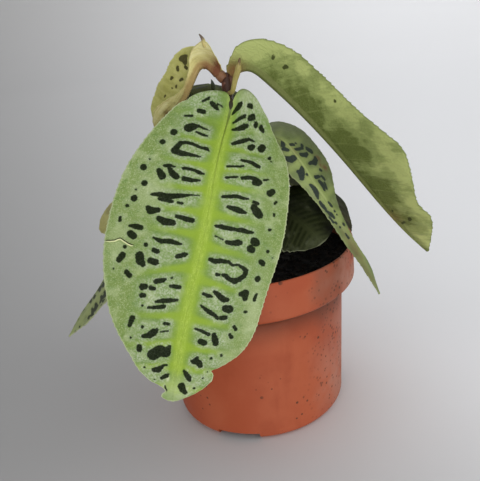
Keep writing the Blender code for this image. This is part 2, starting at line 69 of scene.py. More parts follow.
class Signal:
    """One number that varies over a surface; arithmetic on it adds Math nodes."""

    def __init__(self, shader: "Shader", socket: Socket) -> None:
        """Wraps a socket of a shader's tree."""
        self.shader = shader
        self.socket = socket

    def math(self, operation: str, *values: "Signal | float") -> "Signal":
        """A Math node's result on these values."""
        node = self.shader.node("ShaderNodeMath", {"operation": operation}, dict(enumerate(values)))
        return Signal(self.shader, node.outputs[0])

    def __add__(self, other: "Signal | float") -> "Signal":
        """Sum."""
        return self.math("ADD", self, other)

    __radd__ = __add__

    def __sub__(self, other: "Signal | float") -> "Signal":
        """Difference."""
        return self.math("SUBTRACT", self, other)

    def __rsub__(self, other: "Signal | float") -> "Signal":
        """Difference from a plain number."""
        return self.math("SUBTRACT", other, self)

    def __mul__(self, other: "Signal | float") -> "Signal":
        """Product."""
        return self.math("MULTIPLY", self, other)

    __rmul__ = __mul__

    def __truediv__(self, other: "Signal | float") -> "Signal":
        """Quotient."""
        return self.math("DIVIDE", self, other)

    def __pow__(self, other: "Signal | float") -> "Signal":
        """Power."""
        return self.math("POWER", self, other)

    def size(self) -> "Signal":
        """Absolute value."""
        return self.math("ABSOLUTE", self)

    def most(self, other: "Signal | float") -> "Signal":
        """The larger of two numbers."""
        return self.math("MAXIMUM", self, other)

    def step(self, start: float, end: float) -> "Signal":
        """Soft step, 0 at the start and 1 at the end, which may be the smaller of the two."""
        sockets = {"Value": self, "From Min": start, "From Max": end}
        node = self.shader.node("ShaderNodeMapRange", {"interpolation_type": "SMOOTHSTEP"}, sockets)
        return Signal(self.shader, node.outputs["Result"])


class Shader:
    """The node tree of one material; every node in it comes from node()."""

    def __init__(self, name: str) -> None:
        """Makes a material of that name with a Principled shader."""
        self.material = bpy.data.materials.new(name)
        self.material.use_nodes = True
        self.tree = self.material.node_tree
        self.principled = self.tree.nodes["Principled BSDF"]

    def node(self, kind: str, settings: dict | None = None, sockets: dict | None = None) -> bpy.types.Node:
        """Adds a node.

        Args:
            kind: the node's type.
            settings: its properties, set before its sockets.
            sockets: a value, a signal or another node's output for each input, by name or number.

        Returns:
            The node.
        """
        made = self.tree.nodes.new(kind)
        for name, value in (settings or {}).items():
            setattr(made, name, value)
        for key, value in (sockets or {}).items():
            self.feed(made.inputs[key], value)
        return made

    def feed(self, socket: Socket, value: object) -> None:
        """Links a signal or an output to a socket, or sets a plain value on it."""
        if isinstance(value, Signal):
            value = value.socket
        if isinstance(value, Socket):
            self.tree.links.new(value, socket)
        else:
            socket.default_value = value

    def surface(self, **sockets: object) -> bpy.types.Material:
        """Feeds the Principled shader, with _ for a space in its sockets' names, and gives the material."""
        for name, value in sockets.items():
            self.feed(self.principled.inputs[name.replace("_", " ")], value)
        return self.material

    def attribute(self, name: str) -> Socket:
        """A mesh attribute as a vector."""
        return self.node("ShaderNodeAttribute", {"attribute_name": name}).outputs["Vector"]

    def number(self, name: str) -> Signal:
        """A mesh attribute as a number."""
        return Signal(self, self.node("ShaderNodeAttribute", {"attribute_name": name}).outputs["Fac"])

    def place(self) -> Socket:
        """The object's own coordinates in metres, which are the frame's."""
        return self.node("ShaderNodeTexCoord").outputs["Object"]

    def parts(self, vector: Socket) -> tuple[Signal, Signal, Signal]:
        """The three numbers of a vector."""
        node = self.node("ShaderNodeSeparateXYZ", None, {0: vector})
        return tuple(Signal(self, output) for output in node.outputs)

    def vector(self, x: "Signal | float", y: "Signal | float", z: "Signal | float" = 0.0) -> Socket:
        """A vector of three numbers."""
        return self.node("ShaderNodeCombineXYZ", None, {0: x, 1: y, 2: z}).outputs[0]

    def stretch(self, vector: Socket, by: tuple[float, float, float]) -> Socket:
        """The vector with each direction multiplied."""
        node = self.node("ShaderNodeVectorMath", {"operation": "MULTIPLY"}, {0: vector, 1: by})
        return node.outputs["Vector"]

    def noise(self, vector: Socket, scale: float, detail: float = 2.0, twist: float = 0.0) -> Signal:
        """Cloudy noise from 0 to 1, with that many features a unit."""
        sockets = {"Vector": vector, "Scale": scale, "Detail": detail, "Distortion": twist}
        return Signal(self, self.node("ShaderNodeTexNoise", None, sockets).outputs[0])

    def cells(self, vector: Socket, scale: float, feature: str = "F1") -> Signal:
        """Distance to the nearest of scattered points, or to the border between their cells."""
        node = self.node("ShaderNodeTexVoronoi", {"feature": feature}, {"Vector": vector, "Scale": scale})
        return Signal(self, node.outputs["Distance"])

    def blend(self, share: Signal | float, first: object, second: object) -> Socket:
        """The first colour, turning into the second as the share goes from 0 to 1."""
        settings = {"data_type": "RGBA", "clamp_factor": True}
        return self.node("ShaderNodeMix", settings, {0: share, 6: first, 7: second}).outputs[2]

    def bump(self, height: Signal, depth: float, strength: float = 1.0) -> Socket:
        """Normals of a surface that the height, from 0 to 1, raises by that depth in metres."""
        sockets = {"Height": height, "Distance": depth, "Strength": strength}
        return self.node("ShaderNodeBump", None, sockets).outputs["Normal"]


def unit(arrows: Array) -> Array:
    """Vectors of length 1 along the last axis."""
    return arrows / np.maximum(np.linalg.norm(arrows, axis=-1, keepdims=True), 1e-12)


def square_to(tangent: Array, face: Array) -> Array:
    """Unit vectors square to a line's directions, as near as they get to the given ones."""
    return unit(face - tangent * np.sum(face * tangent, axis=-1, keepdims=True))


def full_turn(sides: int) -> Array:
    """Angles of that many points spaced evenly round a circle."""
    return np.arange(sides) * 2 * np.pi / sides


def vectors(*parts: Array) -> Array:
    """One grid of vectors from the grids of their parts, which are stretched to fit each other."""
    return np.stack(np.broadcast_arrays(*parts), axis=-1)


def natural_spline(knots: Array, values: Array, where: Array) -> Array:
    """Natural cubic spline through the rows of values, read at the given places.

    Args:
        knots: place of each row.
        values: one row for each knot.
        where: places to read.

    Returns:
        One row for each place.
    """
    count = len(knots)
    width = np.diff(knots)
    slope = np.diff(values, axis=0) / width[:, None]
    system = np.eye(count)
    inner = np.arange(1, count - 1)
    system[inner, inner - 1] = width[:-1]
    system[inner, inner] = 2 * (width[:-1] + width[1:])
    system[inner, inner + 1] = width[1:]
    drive = np.zeros_like(values)
    drive[1:-1] = 6 * np.diff(slope, axis=0)
    bend = np.linalg.solve(system, drive)
    piece = np.clip(np.searchsorted(knots, where, side="right") - 1, 0, count - 2)
    span = width[piece][:, None]
    after = (knots[piece + 1] - where)[:, None] / span
    before = 1 - after
    return (
        after * values[piece] + before * values[piece + 1]
        + ((after**3 - after) * bend[piece] + (before**3 - before) * bend[piece + 1]) * span**2 / 6
    )


def outline_width(outline: Points, share: Array) -> Array:
    """Cubic Hermite line through the outline's points, with the slope at each from its neighbours."""
    shares, widths = np.array(outline, float).T
    slopes = np.gradient(widths, shares)
    piece = np.clip(np.searchsorted(shares, share, side="right") - 1, 0, len(shares) - 2)
    span = shares[piece + 1] - shares[piece]
    t = (share - shares[piece]) / span
    return (
        (2 * t**3 - 3 * t**2 + 1) * widths[piece] + (t**3 - 2 * t**2 + t) * span * slopes[piece]
        + (3 * t**2 - 2 * t**3) * widths[piece + 1] + (t**3 - t**2) * span * slopes[piece + 1]
    )


def three_stage(values: Points, share: Array) -> Array:
    """Values or vectors given at a blade's base, middle and tip, read in straight lines between them."""
    columns = np.array(values, float).T
    if columns.ndim == 1:
        return np.interp(share, (0, 0.5, 1), columns)
    return np.stack([np.interp(share, (0, 0.5, 1), column) for column in columns], axis=-1)


def soft_step(value: Array, start: float, end: float) -> Array:
    """0 at the start and 1 at the end, with level ends."""
    t = np.clip((value - start) / (end - start), 0, 1)
    return t * t * (3 - 2 * t)


class Lattice:
    """Seeded smooth noise from -1 to 1 over a plane: random numbers on a lattice, eased between points."""

    SIDE = 97

    def __init__(self, seed: int) -> None:
        """Draws the lattice's numbers."""
        self.values = np.random.default_rng(seed).uniform(-1, 1, (self.SIDE, self.SIDE))

    def at(self, x: Array, y: Array) -> Array:
        """Noise at points of the plane, with one feature a unit."""
        left, low = np.floor(x).astype(int), np.floor(y).astype(int)
        u, v = soft_step(x - left, 0, 1), soft_step(y - low, 0, 1)
        left, low = left % self.SIDE, low % self.SIDE
        right, high = (left + 1) % self.SIDE, (low + 1) % self.SIDE
        bottom = self.values[left, low] * (1 - u) + self.values[right, low] * u
        top = self.values[left, high] * (1 - u) + self.values[right, high] * u
        return bottom * (1 - v) + top * v


def grid_quads(rows: int, columns: int, start: int = 0, closed: bool = False) -> Array:
    """Quads of a grid of points numbered row by row.

    Args:
        rows: number of rows of points.
        columns: number of points in a row.
        start: number of the first point.
        closed: whether each row's last point joins its first.

    Returns:
        Four point numbers for each quad, anticlockwise with rows going up and columns to the right.
    """
    ends = columns if closed else columns - 1
    row, column = np.meshgrid(np.arange(rows - 1), np.arange(ends), indexing="ij")
    after = (column + 1) % columns
    low, high = row * columns, (row + 1) * columns
    corners = (low + column, low + after, high + after, high + column)
    return start + np.stack([corner.ravel() for corner in corners], axis=1)


def sheet_faces(rows: int, columns: int) -> tuple[Array, Array]:
    """Quads of a closed sheet: an upper grid, a lower one numbered after it, and strips along the edges.

    Args:
        rows: number of rows of points in a grid.
        columns: number of points in a row.

    Returns:
        The quads, and for each of them 1 on the lower face and 0 elsewhere.
    """
    count = rows * columns
    top = grid_quads(rows, columns)
    bottom = grid_quads(rows, columns, count)[:, ::-1]
    loop = np.concatenate([
        np.arange(columns), np.arange(1, rows) * columns + columns - 1,
        (rows - 1) * columns + np.arange(columns - 2, -1, -1), np.arange(rows - 2, 0, -1) * columns,
    ])
    after = np.roll(loop, -1)
    strip = np.stack([loop, loop + count, after + count, after], axis=1)
    under = np.concatenate([np.zeros(len(top)), np.ones(len(bottom)), np.zeros(len(strip))])
    return np.concatenate([top, bottom, strip]), under


def capped_rings(rings: Array, poles: Array | list) -> tuple[Array, list]:
    """A closed surface: a grid whose rows are closed rings, and a fan from a pole to each end ring.

    Args:
        rings: the grid's points.
        poles: the first ring's pole and the last ring's.

    Returns:
        Points and faces.
    """
    rows, sides = rings.shape[:2]
    points = np.concatenate([rings.reshape(-1, 3), poles])
    quads = grid_quads(rows, sides, closed=True)[:, ::-1]
    ring = np.arange(sides)
    after = (ring + 1) % sides
    last = (rows - 1) * sides
    first_fan = np.stack([np.full(sides, len(points) - 2), ring, after], axis=1)
    last_fan = np.stack([np.full(sides, len(points) - 1), last + after, last + ring], axis=1)
    return points, quads.tolist() + first_fan.tolist() + last_fan.tolist()


def twenty_sided() -> tuple[Array, Array]:
    """The twelve points of a regular twenty-sided solid round the origin, and its triangles."""
    golden = (1 + 5**0.5) / 2
    signs = np.array([(a, b) for a in (-1, 1) for b in (-1, 1)], float)
    none, short, long = np.zeros(4), signs[:, 0], golden * signs[:, 1]
    rows = (vectors(none, short, long), vectors(short, long, none), vectors(long, none, short))
    points = np.concatenate(rows) / golden
    edge = 2 / golden
    near = np.linalg.norm(points[:, None] - points[None], axis=2) < 1.05 * edge
    triangles = np.array([
        (a, b, c) for a in range(12) for b in range(a + 1, 12) for c in range(b + 1, 12)
        if near[a, b] and near[b, c] and near[a, c]
    ])
    first, second, third = points[triangles].transpose(1, 0, 2)
    outward = np.sum(np.cross(second - first, third - first) * first, axis=1) > 0
    return points, np.where(outward[:, None], triangles, triangles[:, ::-1])


def add_piece(
    name: str, points: Array, faces: list, materials: list, slots: Array | None = None,
    attributes: dict[str, Array] | None = None,
) -> bpy.types.Object:
    """Makes a smooth mesh object that rides on the part's body.

    Args:
        name: the piece's name.
        points: its points in metres.
        faces: point numbers of each face.
        materials: its materials.
        slots: number of each face's material.
        attributes: numbers or vectors for each point, by name.

    Returns:
        The object, at the origin.
    """
    mesh = bpy.data.meshes.new(name)
    mesh.from_pydata(points.tolist(), [], faces)
    for material in materials:
        mesh.materials.append(material)
    if slots is not None:
        mesh.polygons.foreach_set("material_index", slots.astype(np.int32))
    for label, values in (attributes or {}).items():
        kind, field_name = ("FLOAT_VECTOR", "vector") if values.ndim == 2 else ("FLOAT", "value")
        layer = mesh.attributes.new(label, kind, "POINT")
        layer.data.foreach_set(field_name, values.astype(np.float32).ravel())
    mesh.shade_smooth()
    mesh.update()
    made = bpy.data.objects.new(name, mesh)
    bpy.context.scene.collection.objects.link(made)
    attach(made, BODY)
    LOG.info("%s: %d points, %d faces", name, len(points), len(faces))
    return made


def swept_tube(
    line: Array, radii: Array, face: Array, sides: int, section: Array | None = None,
) -> tuple[Array, list]:
    """A closed tube: a ring of points round each point of a line, square to it, with bulging ends.

    Args:
        line: points along the middle.
        radii: radius at each point.
        face: direction of each ring's first point, made square to the line.
        sides: points in a ring.
        section: a factor on the radius for each point of a ring, or of each ring.

    Returns:
        Points and faces.
    """
    tangent = unit(np.gradient(line, axis=0))
    normal = square_to(tangent, face)
    across = np.cross(tangent, normal)
    angle = full_turn(sides)
    spread = radii[:, None] * (np.ones(sides) if section is None else section)
    rings = (
        line[:, None] + (spread * np.cos(angle))[..., None] * normal[:, None]
        + (spread * np.sin(angle))[..., None] * across[:, None]
    )
    bulge = END_BULGE * radii[[0, -1], None] * tangent[[0, -1]] * np.array([[-1], [1]])
    return capped_rings(rings, line[[0, -1]] + bulge)


def run_along(share: Array, turn: Array, distance: Array) -> Array:
    """A tube's attribute run on its rings and poles: share along, share of a turn and distance along."""
    run = vectors(share[:, None], turn[None], distance[:, None]).reshape(-1, 3)
    return np.concatenate([run, run[[0, -1]]])


class Midrib:
    """A leaf's midrib in millimetres: a spline through its points, read by the distance along it."""

    SAMPLES = 600
    TANGENT_STEP = 0.6

    def __init__(self, path: Points, start: float = 0.0) -> None:
        """Lays the line; the blade starts at that distance along it."""
        points = np.array(path, float)
        chord = np.r_[0, np.cumsum(np.linalg.norm(np.diff(points, axis=0), axis=1))]
        self.points = natural_spline(chord, points, np.linspace(0, chord[-1], self.SAMPLES))
        self.arc = np.r_[0, np.cumsum(np.linalg.norm(np.diff(self.points, axis=0), axis=1))]
        self.start = start
        self.total = self.arc[-1]
        self.blade = self.total - start

    def on_line(self, arc: Array) -> Array:
        """Points at those distances."""
        return np.stack([np.interp(arc, self.arc, column) for column in self.points.T], axis=-1)

    def at(self, arc: Array) -> tuple[Array, Array]:
        """Points and directions; before the blade's base and past its tip the line runs on straight."""
        inside = np.clip(arc, self.start, self.total)
        ahead = self.on_line(np.minimum(inside + self.TANGENT_STEP, self.total))
        behind = self.on_line(np.maximum(inside - self.TANGENT_STEP, 0))
        tangent = unit(ahead - behind)
        return self.on_line(inside) + tangent * (arc - inside)[..., None], tangent


# Outlines of a half blade, close to the part's: (share of the blade's length, share of the half width)
OVAL = (
    (0, 0.05), (0.04, 0.20), (0.12, 0.50), (0.25, 0.82), (0.40, 0.98), (0.50, 1.0), (0.62, 0.95),
    (0.75, 0.77), (0.87, 0.48), (0.95, 0.22), (1, 0.04),
)
BROAD = (
    (0, 0.15), (0.04, 0.40), (0.12, 0.68), (0.25, 0.90), (0.40, 1.0), (0.50, 1.0), (0.62, 0.93),
    (0.75, 0.72), (0.87, 0.42), (0.95, 0.18), (1, 0.03),
)
BLUNT = (
    (0, 0.05), (0.04, 0.20), (0.12, 0.50), (0.25, 0.82), (0.40, 0.98), (0.55, 1.0), (0.70, 0.95),
    (0.82, 0.82), (0.91, 0.60), (0.97, 0.35), (1, 0.10),
)
LATE_FAR = (
    (0, 0.45), (0.05, 0.95), (0.10, 1.10), (0.16, 1.0), (0.25, 0.86), (0.37, 0.77), (0.45, 0.62),
    (0.50, 0.48), (0.55, 0.36), (0.60, 0.25), (0.66, 0.15), (0.70, 0.08), (0.75, 0.06), (0.80, 0.13),
    (0.85, 0.25), (0.90, 0.27), (0.95, 0.15), (1, 0.03),
)
LATE_NEAR = (
    (0, 0.25), (0.10, 0.70), (0.25, 0.95), (0.38, 0.95), (0.45, 0.74), (0.52, 0.62), (0.60, 0.58),
    (0.68, 0.54), (0.77, 0.42), (0.87, 0.27), (0.95, 0.16), (1, 0.03),
)
FRONT_LEFT = (
    (0, 0.46), (0.03, 0.56), (0.07, 0.64), (0.12, 0.715), (0.20, 0.825), (0.30, 0.945), (0.38, 1.0),
    (0.46, 1.02), (0.54, 1.01), (0.61, 0.965), (0.68, 0.885), (0.74, 0.80), (0.80, 0.675), (0.86, 0.52),
    (0.91, 0.385), (0.935, 0.27), (0.952, 0.15), (0.964, 0.10), (0.975, 0.125), (0.986, 0.14), (1, 0.05),
)
FRONT_RIGHT = (
    (0, 0.38), (0.04, 0.53), (0.08, 0.68), (0.12, 0.80), (0.18, 0.88), (0.25, 0.935), (0.33, 0.955),
    (0.42, 0.965), (0.50, 0.95), (0.58, 0.92), (0.66, 0.90), (0.73, 0.88), (0.79, 0.83), (0.83, 0.76),
    (0.86, 0.655), (0.885, 0.52), (0.897, 0.43), (0.91, 0.46), (0.935, 0.45), (0.965, 0.34),
    (0.985, 0.21), (1, 0.05),
)
RIGHT_NEAR = (
    (0, 0.11), (0.03, 0.23), (0.06, 0.45), (0.09, 0.61), (0.12, 0.71), (0.16, 0.79), (0.22, 0.82),
    (0.30, 0.86), (0.35, 0.92), (0.40, 1.03), (0.45, 1.17), (0.50, 1.30), (0.54, 1.34), (0.58, 1.29),
    (0.64, 1.13), (0.70, 0.98), (0.775, 0.82), (0.80, 0.83), (0.82, 0.85), (0.85, 0.79), (0.88, 0.67),
    (0.92, 0.47), (0.96, 0.26), (1, 0.05),
)
YOUNG_NEAR = (
    (0, 0.18), (0.03, 0.46), (0.07, 0.62), (0.12, 0.92), (0.14, 1.2), (0.155, 1.24), (0.17, 1.1),
    (0.19, 0.97), (0.22, 0.74), (0.26, 0.52), (0.32, 0.38), (0.40, 0.27), (0.46, 0.29), (0.52, 0.46),
    (0.60, 0.70), (0.72, 0.80), (0.84, 0.86), (0.93, 0.55), (1, 0.06),
)
YOUNG_FAR = (
    (0, 0.15), (0.06, 0.18), (0.12, 0.26), (0.16, 0.42), (0.20, 0.58), (0.25, 0.77), (0.30, 0.84),
    (0.38, 0.93), (0.46, 0.99), (0.60, 0.96), (0.76, 1.0), (0.86, 0.92), (0.94, 0.66), (1, 0.06),
)


@dataclass(frozen=True)
class LeafForm:
    """A leaf's form, close to the part's, in millimetres and degrees; a pair is left half and right half."""

    path: Points
    petiole: float
    half_width: tuple[float, float]
    # The way the upper side faces, then each half's fold and curl, at the blade's base, middle and tip
    face: Points
    fold: Points = ((0, 0, 0), (0, 0, 0))
    curl: Points = ((-20, -20, -10), (-20, -20, -10))
    outline: tuple[Points, Points] = (OVAL, OVAL)
    lobe: tuple[float, float] = (0, 0)
    wave: float = 1.0
    waves: float = 3.0
    petiole_radius: float = 1.45
    sinus: tuple[float, float] = (0.08, 0.08)

    MIN_HALF_WIDTH = 0.4
    LOBE_SHARE = 0.14
    LOBE_FALL = 0.65
    HALF_PHASE = 2.2
    FLAT_CURL = 0.001
    MARGIN_POWER = 8
    LOBE_POWER = 2.5

    def widths(self, share: Array, side: Array) -> Array:
        """Width in millimetres of the half that each side lies in."""
        halves = [outline_width(self.outline[half], share) * self.half_width[half] for half in (0, 1)]
        return np.maximum(np.where(side > 0, halves[1], halves[0]), self.MIN_HALF_WIDTH)

    def middle(self, rib: Midrib, share: Array, side: Array, notch: Array) -> Array:
        """The blade's middle surface: each half leaves the midrib at its fold angle and bends by its curl.

        The margins wave by a sine along the blade, and the base lobes reach back past the petiole.

        Args:
            rib: the leaf's midrib.
            share: share of the blade's length, as a grid.
            side: -1 at the left margin, 0 on the midrib, 1 at the right margin, as a grid.
            notch: how far the margin is cut in, in millimetres, as a grid.

        Returns:
            Points in millimetres, as a grid of vectors.
        """
        right = side > 0
        reach = np.abs(side)
        width = self.widths(share, side) - notch * reach**self.MARGIN_POWER
        back = np.clip(1 - share / self.LOBE_SHARE, 0, None) ** 2
        back = back * (1 - self.LOBE_FALL * reach**self.LOBE_POWER)
        back *= 1 - np.exp(-reach / np.where(right, self.sinus[1], self.sinus[0]))
        arc = rib.start + rib.blade * share - np.where(right, self.lobe[1], self.lobe[0]) * back
        point, tangent = rib.at(arc)
        face = three_stage(self.face, share)
        normal = square_to(tangent, face)
        across = np.cross(tangent, normal)
        folds = [three_stage(self.fold[half], share) for half in (0, 1)]
        curls = [three_stage(self.curl[half], share) for half in (0, 1)]
        fold = np.radians(np.where(right, folds[1], folds[0]))
        curl = np.radians(np.where(right, curls[1], curls[0]) + self.FLAT_CURL)
        out = width * (np.sin(fold + curl * reach) - np.sin(fold)) / curl
        lift = width * (np.cos(fold) - np.cos(fold + curl * reach)) / curl
        ripple = np.sin(2 * np.pi * self.waves * share + self.HALF_PHASE * right) * np.sin(np.pi * share)
        rise = lift + self.wave * reach**2 * ripple
        return point + across * (np.sign(side) * out)[..., None] + normal * rise[..., None]


class Laterals:
    """The side veins of a half blade: each leaves the midrib and drifts towards the tip as it goes out."""

    DRIFT_REACH = 20.0
    DRIFT_POWER = 1.3
    WIDE_PITCH = 7.5
    BAND_HALF = 1.3
    BAND_FLARE = 2.2
    FLARE_REACH = 5.0

    def __init__(self, starts: tuple, drifts: tuple) -> None:
        """Keeps where each vein leaves the midrib and how far it has drifted 20 mm out, in millimetres."""
        self.starts = np.array(starts, float)
        self.drifts = np.array(drifts, float)

    def lines(self, out: Array) -> Array:
        """Distance along the blade of every vein, at those distances out."""
        bend = (np.abs(out) / self.DRIFT_REACH) ** self.DRIFT_POWER
        return self.starts[:, None] + self.drifts[:, None] * bend[None]

    def bands(self, out: Array, along: Array) -> tuple[Array, Array]:
        """How near each point is to a vein, and how deep in the cell between two veins, both 0 to 1."""
        gap = along[None] - self.lines(out)
        pitch = np.median(np.diff(self.starts))
        width = self.BAND_HALF + self.BAND_FLARE * np.exp(-out / self.FLARE_REACH)
        width = width * min(1, pitch / self.WIDE_PITCH)
        band = np.exp(-(np.abs(gap).min(0) / width) ** 2)
        below = np.where(gap >= 0, gap, pitch).min(0)
        above = np.where(gap < 0, -gap, pitch).min(0)
        cell = np.sin(np.pi * below / np.maximum(below + above, 1e-6))
        return band, cell

    def beside(self, cell: int, share: float, out: float) -> float:
        """Distance along the blade at a share of the way from one vein to the next."""
        first, second = self.lines(np.array([out]))[cell:cell + 2, 0]
        return float(first + (second - first) * share)


def signed_distance(out: Array, along: Array, chains: list[Chain]) -> Array:
    """Millimetres from each point to the nearest mark, negative inside it.

    A mark is a chain of discs joined by tapering bars. The distance is the one to each bar's middle line,
    less the radius there, and the smallest of them all.

    Args:
        out: distance from the midrib.
        along: distance from the blade's base.
        chains: the marks, each a row of (out, along, radius).

    Returns:
        The distances, up to FAR_FROM_MARKS.
    """
    nearest = np.full(out.shape, FAR_FROM_MARKS)
    for chain in chains:
        for first, second in zip(chain, chain[1:] if len(chain) > 1 else chain):
            run, rise = second[0] - first[0], second[1] - first[1]
            length = max(run * run + rise * rise, 1e-9)
            t = np.clip(((out - first[0]) * run + (along - first[1]) * rise) / length, 0, 1)
            middle = np.hypot(out - first[0] - run * t, along - first[1] - rise * t)
            np.minimum(nearest, middle - (first[2] + (second[2] - first[2]) * t), out=nearest)
    return nearest


# The front leaf's side veins in millimetres: where each leaves the midrib, and its drift 20 mm out
FRONT_FAR_VEINS = Laterals(
    (-12, 12.5, 22, 32.5, 41, 53.3, 66.5, 80, 96.5, 108.5, 118.5, 128),
    (-3, -5, -2.5, -2, -2, 0, 0.5, 2, 2, 3, 3, 3),
)
FRONT_NEAR_VEINS = Laterals(
    (-12, 11.5, 21.8, 33.3, 43.8, 53.6, 62.8, 76, 96, 107.5, 117.5, 127),
    (-1, -1, 0.3, 0.6, 1.4, 0.8, 0.6, 6, 2.5, 3, 3, 3),
)

# The front leaf's dark marks: each a chain of (out from the midrib, along, radius)
FRONT_NEAR_MARKS: list[Chain] = [
    ((12.6, 3.7, 0.4), (9.9, 2.6, 0.4)), ((8.5, 4.2, 0.8), (6.6, 5.3, 0.9), (5, 6.3, 0.3)),
    ((6, 4.2, 0.25), (3.5, 4.6, 0.2)), ((13.2, 8.3, 0.85), (11, 8.4, 0.9)),
    ((18.3, 12, 0.4), (15.5, 11.2, 0.6)), ((15, 17.5, 2.0), (13.5, 16.2, 1.7), (11.5, 15.2, 0.7),
     (6.3, 15.9, 0.15)), ((11.5, 18.4, 0.45), (9, 18.8, 0.6), (6.7, 18.8, 0.45)), ((20.5, 21.2, 1.45),),
    ((4.5, 26, 0.4), (5.5, 25.3, 0.85), (8, 25.5, 0.6), (12, 24.7, 0.75), (14.5, 24.9, 0.7),
     (16.6, 25.8, 0.9), (17.3, 27.7, 1.1), (18.3, 29.8, 1.3), (15.5, 30.3, 1.2), (12, 30.1, 0.8),
     (7.3, 29.9, 0.35)), ((23.8, 27, 1.15),), ((27.2, 35.5, 0.45),), ((28.9, 39.5, 1.3),),
    ((20.5, 37.2, 0.7), (18.5, 36.7, 0.7), (16.5, 36.9, 0.3)), ((13, 36.7, 0.6), (10.5, 36.4, 0.6),
     (8, 36.6, 0.6), (6.5, 37, 0.8), (4.6, 37.2, 0.4)), ((22.5, 39.6, 1.0), (20.8, 41.7, 1.5)),
    ((18.5, 38, 0.8), (17, 39.8, 1.3), (15.2, 40.8, 1.3)),
    ((12, 41, 1.0), (9, 41, 0.85), (5.5, 40.4, 0.35)), ((27.2, 45.8, 1.15),), ((30, 49, 0.45),),
    ((30, 52.8, 1.3),), ((32.2, 56.3, 0.7),), ((23.5, 50, 0.5), (20.5, 49.5, 0.9), (17, 49.6, 1.2),
     (14, 49, 1.0), (10.5, 48, 0.7), (8.5, 47.3, 0.3), (4.5, 46.7, 0.15)),
    ((20, 51.2, 0.7), (16.5, 51.5, 0.65), (15, 51.4, 0.6)), ((12.5, 51.3, 0.4), (11, 51.4, 0.6)),
    ((23.8, 55.6, 1.0), (22.5, 56.7, 1.6), (19.8, 55.9, 1.0)),
    ((12, 57, 0.7), (8, 57.5, 1.0), (5.5, 57.5, 0.9)),
    ((18.8, 59.3, 1.0), (16.5, 60.2, 1.5), (13, 60, 1.2)), ((34, 61.8, 0.5), (33.9, 63.3, 0.6)),
    ((29.5, 64.7, 0.5), (27, 64.5, 1.2), (25, 64.7, 1.0)), ((28.5, 68, 1.4), (27.2, 68.8, 1.4)),
    ((19.2, 67.8, 0.4), (16, 68.5, 0.9), (12.5, 67.8, 1.0), (9, 68, 0.6), (8, 67.9, 0.3)),
    ((21.5, 71.2, 0.8),), ((18, 72.6, 0.9), (16.5, 72.9, 0.9)),
    ((8.5, 73, 0.8), (5.8, 71.8, 0.9), (5, 71.3, 0.5)), ((29.4, 73.9, 0.7),),
    ((23, 76, 1.6), (22.3, 77.8, 1.7), (21, 79, 1.0)), ((18.5, 77, 1.1), (16.2, 77.2, 1.2)),
    ((29.5, 77.2, 1.2), (30.5, 79.3, 1.1)), ((26.6, 83.2, 0.9), (25, 84.3, 0.9)), ((32, 83, 0.3),),
    ((14.5, 84.3, 0.8), (12, 83.4, 0.9), (11, 82.8, 0.5)), ((9, 82, 0.3), (8.3, 81.5, 0.3)),
    ((8.5, 84.9, 0.5), (6, 84.8, 0.9), (4.8, 84.7, 0.7)), ((19.2, 87.3, 1.2), (18, 87, 1.0)),
    ((16, 87.1, 0.8), (14.5, 87.2, 0.6)), ((18.8, 90.5, 1.0), (18, 90.4, 0.9)), ((17.8, 94.4, 0.4),),
    ((13, 92, 0.4), (10, 91, 0.9), (7, 90.3, 0.8), (4.8, 89.9, 0.5)),
    ((15.5, 94.8, 0.4), (12, 94, 0.7), (9.5, 93.3, 0.8), (9, 93, 0.4)),
    ((20.8, 100, 1.1), (21.5, 103, 0.7)), ((8, 99.9, 0.5), (6, 99.9, 0.5)), ((16.3, 102.6, 0.6),),
    ((15.5, 106.5, 0.7), (13, 105.5, 1.3), (11.5, 104, 1.4), (10.5, 103, 0.7)),
    ((9, 103.5, 0.25), (6, 102.7, 0.25)), ((20.3, 107.8, 0.45),), ((16.4, 111, 1.0), (16.2, 112, 1.1)),
    ((10.5, 113.5, 2.3), (8, 111.5, 2.3), (5.5, 112, 1.9), (4.5, 109.5, 0.8)), ((9.3, 120.2, 0.9),
     (7.5, 119.8, 1.2), (5.5, 117.7, 0.4), (4.5, 117.5, 0.5)), ((13.3, 119.5, 0.35),),
    ((5.7, 123.5, 0.7), (4, 122.2, 0.9), (3.3, 121.5, 0.4)), ((8.5, 124.5, 0.25),),
    ((4, 127, 0.2), (3.3, 129, 0.4)),
]
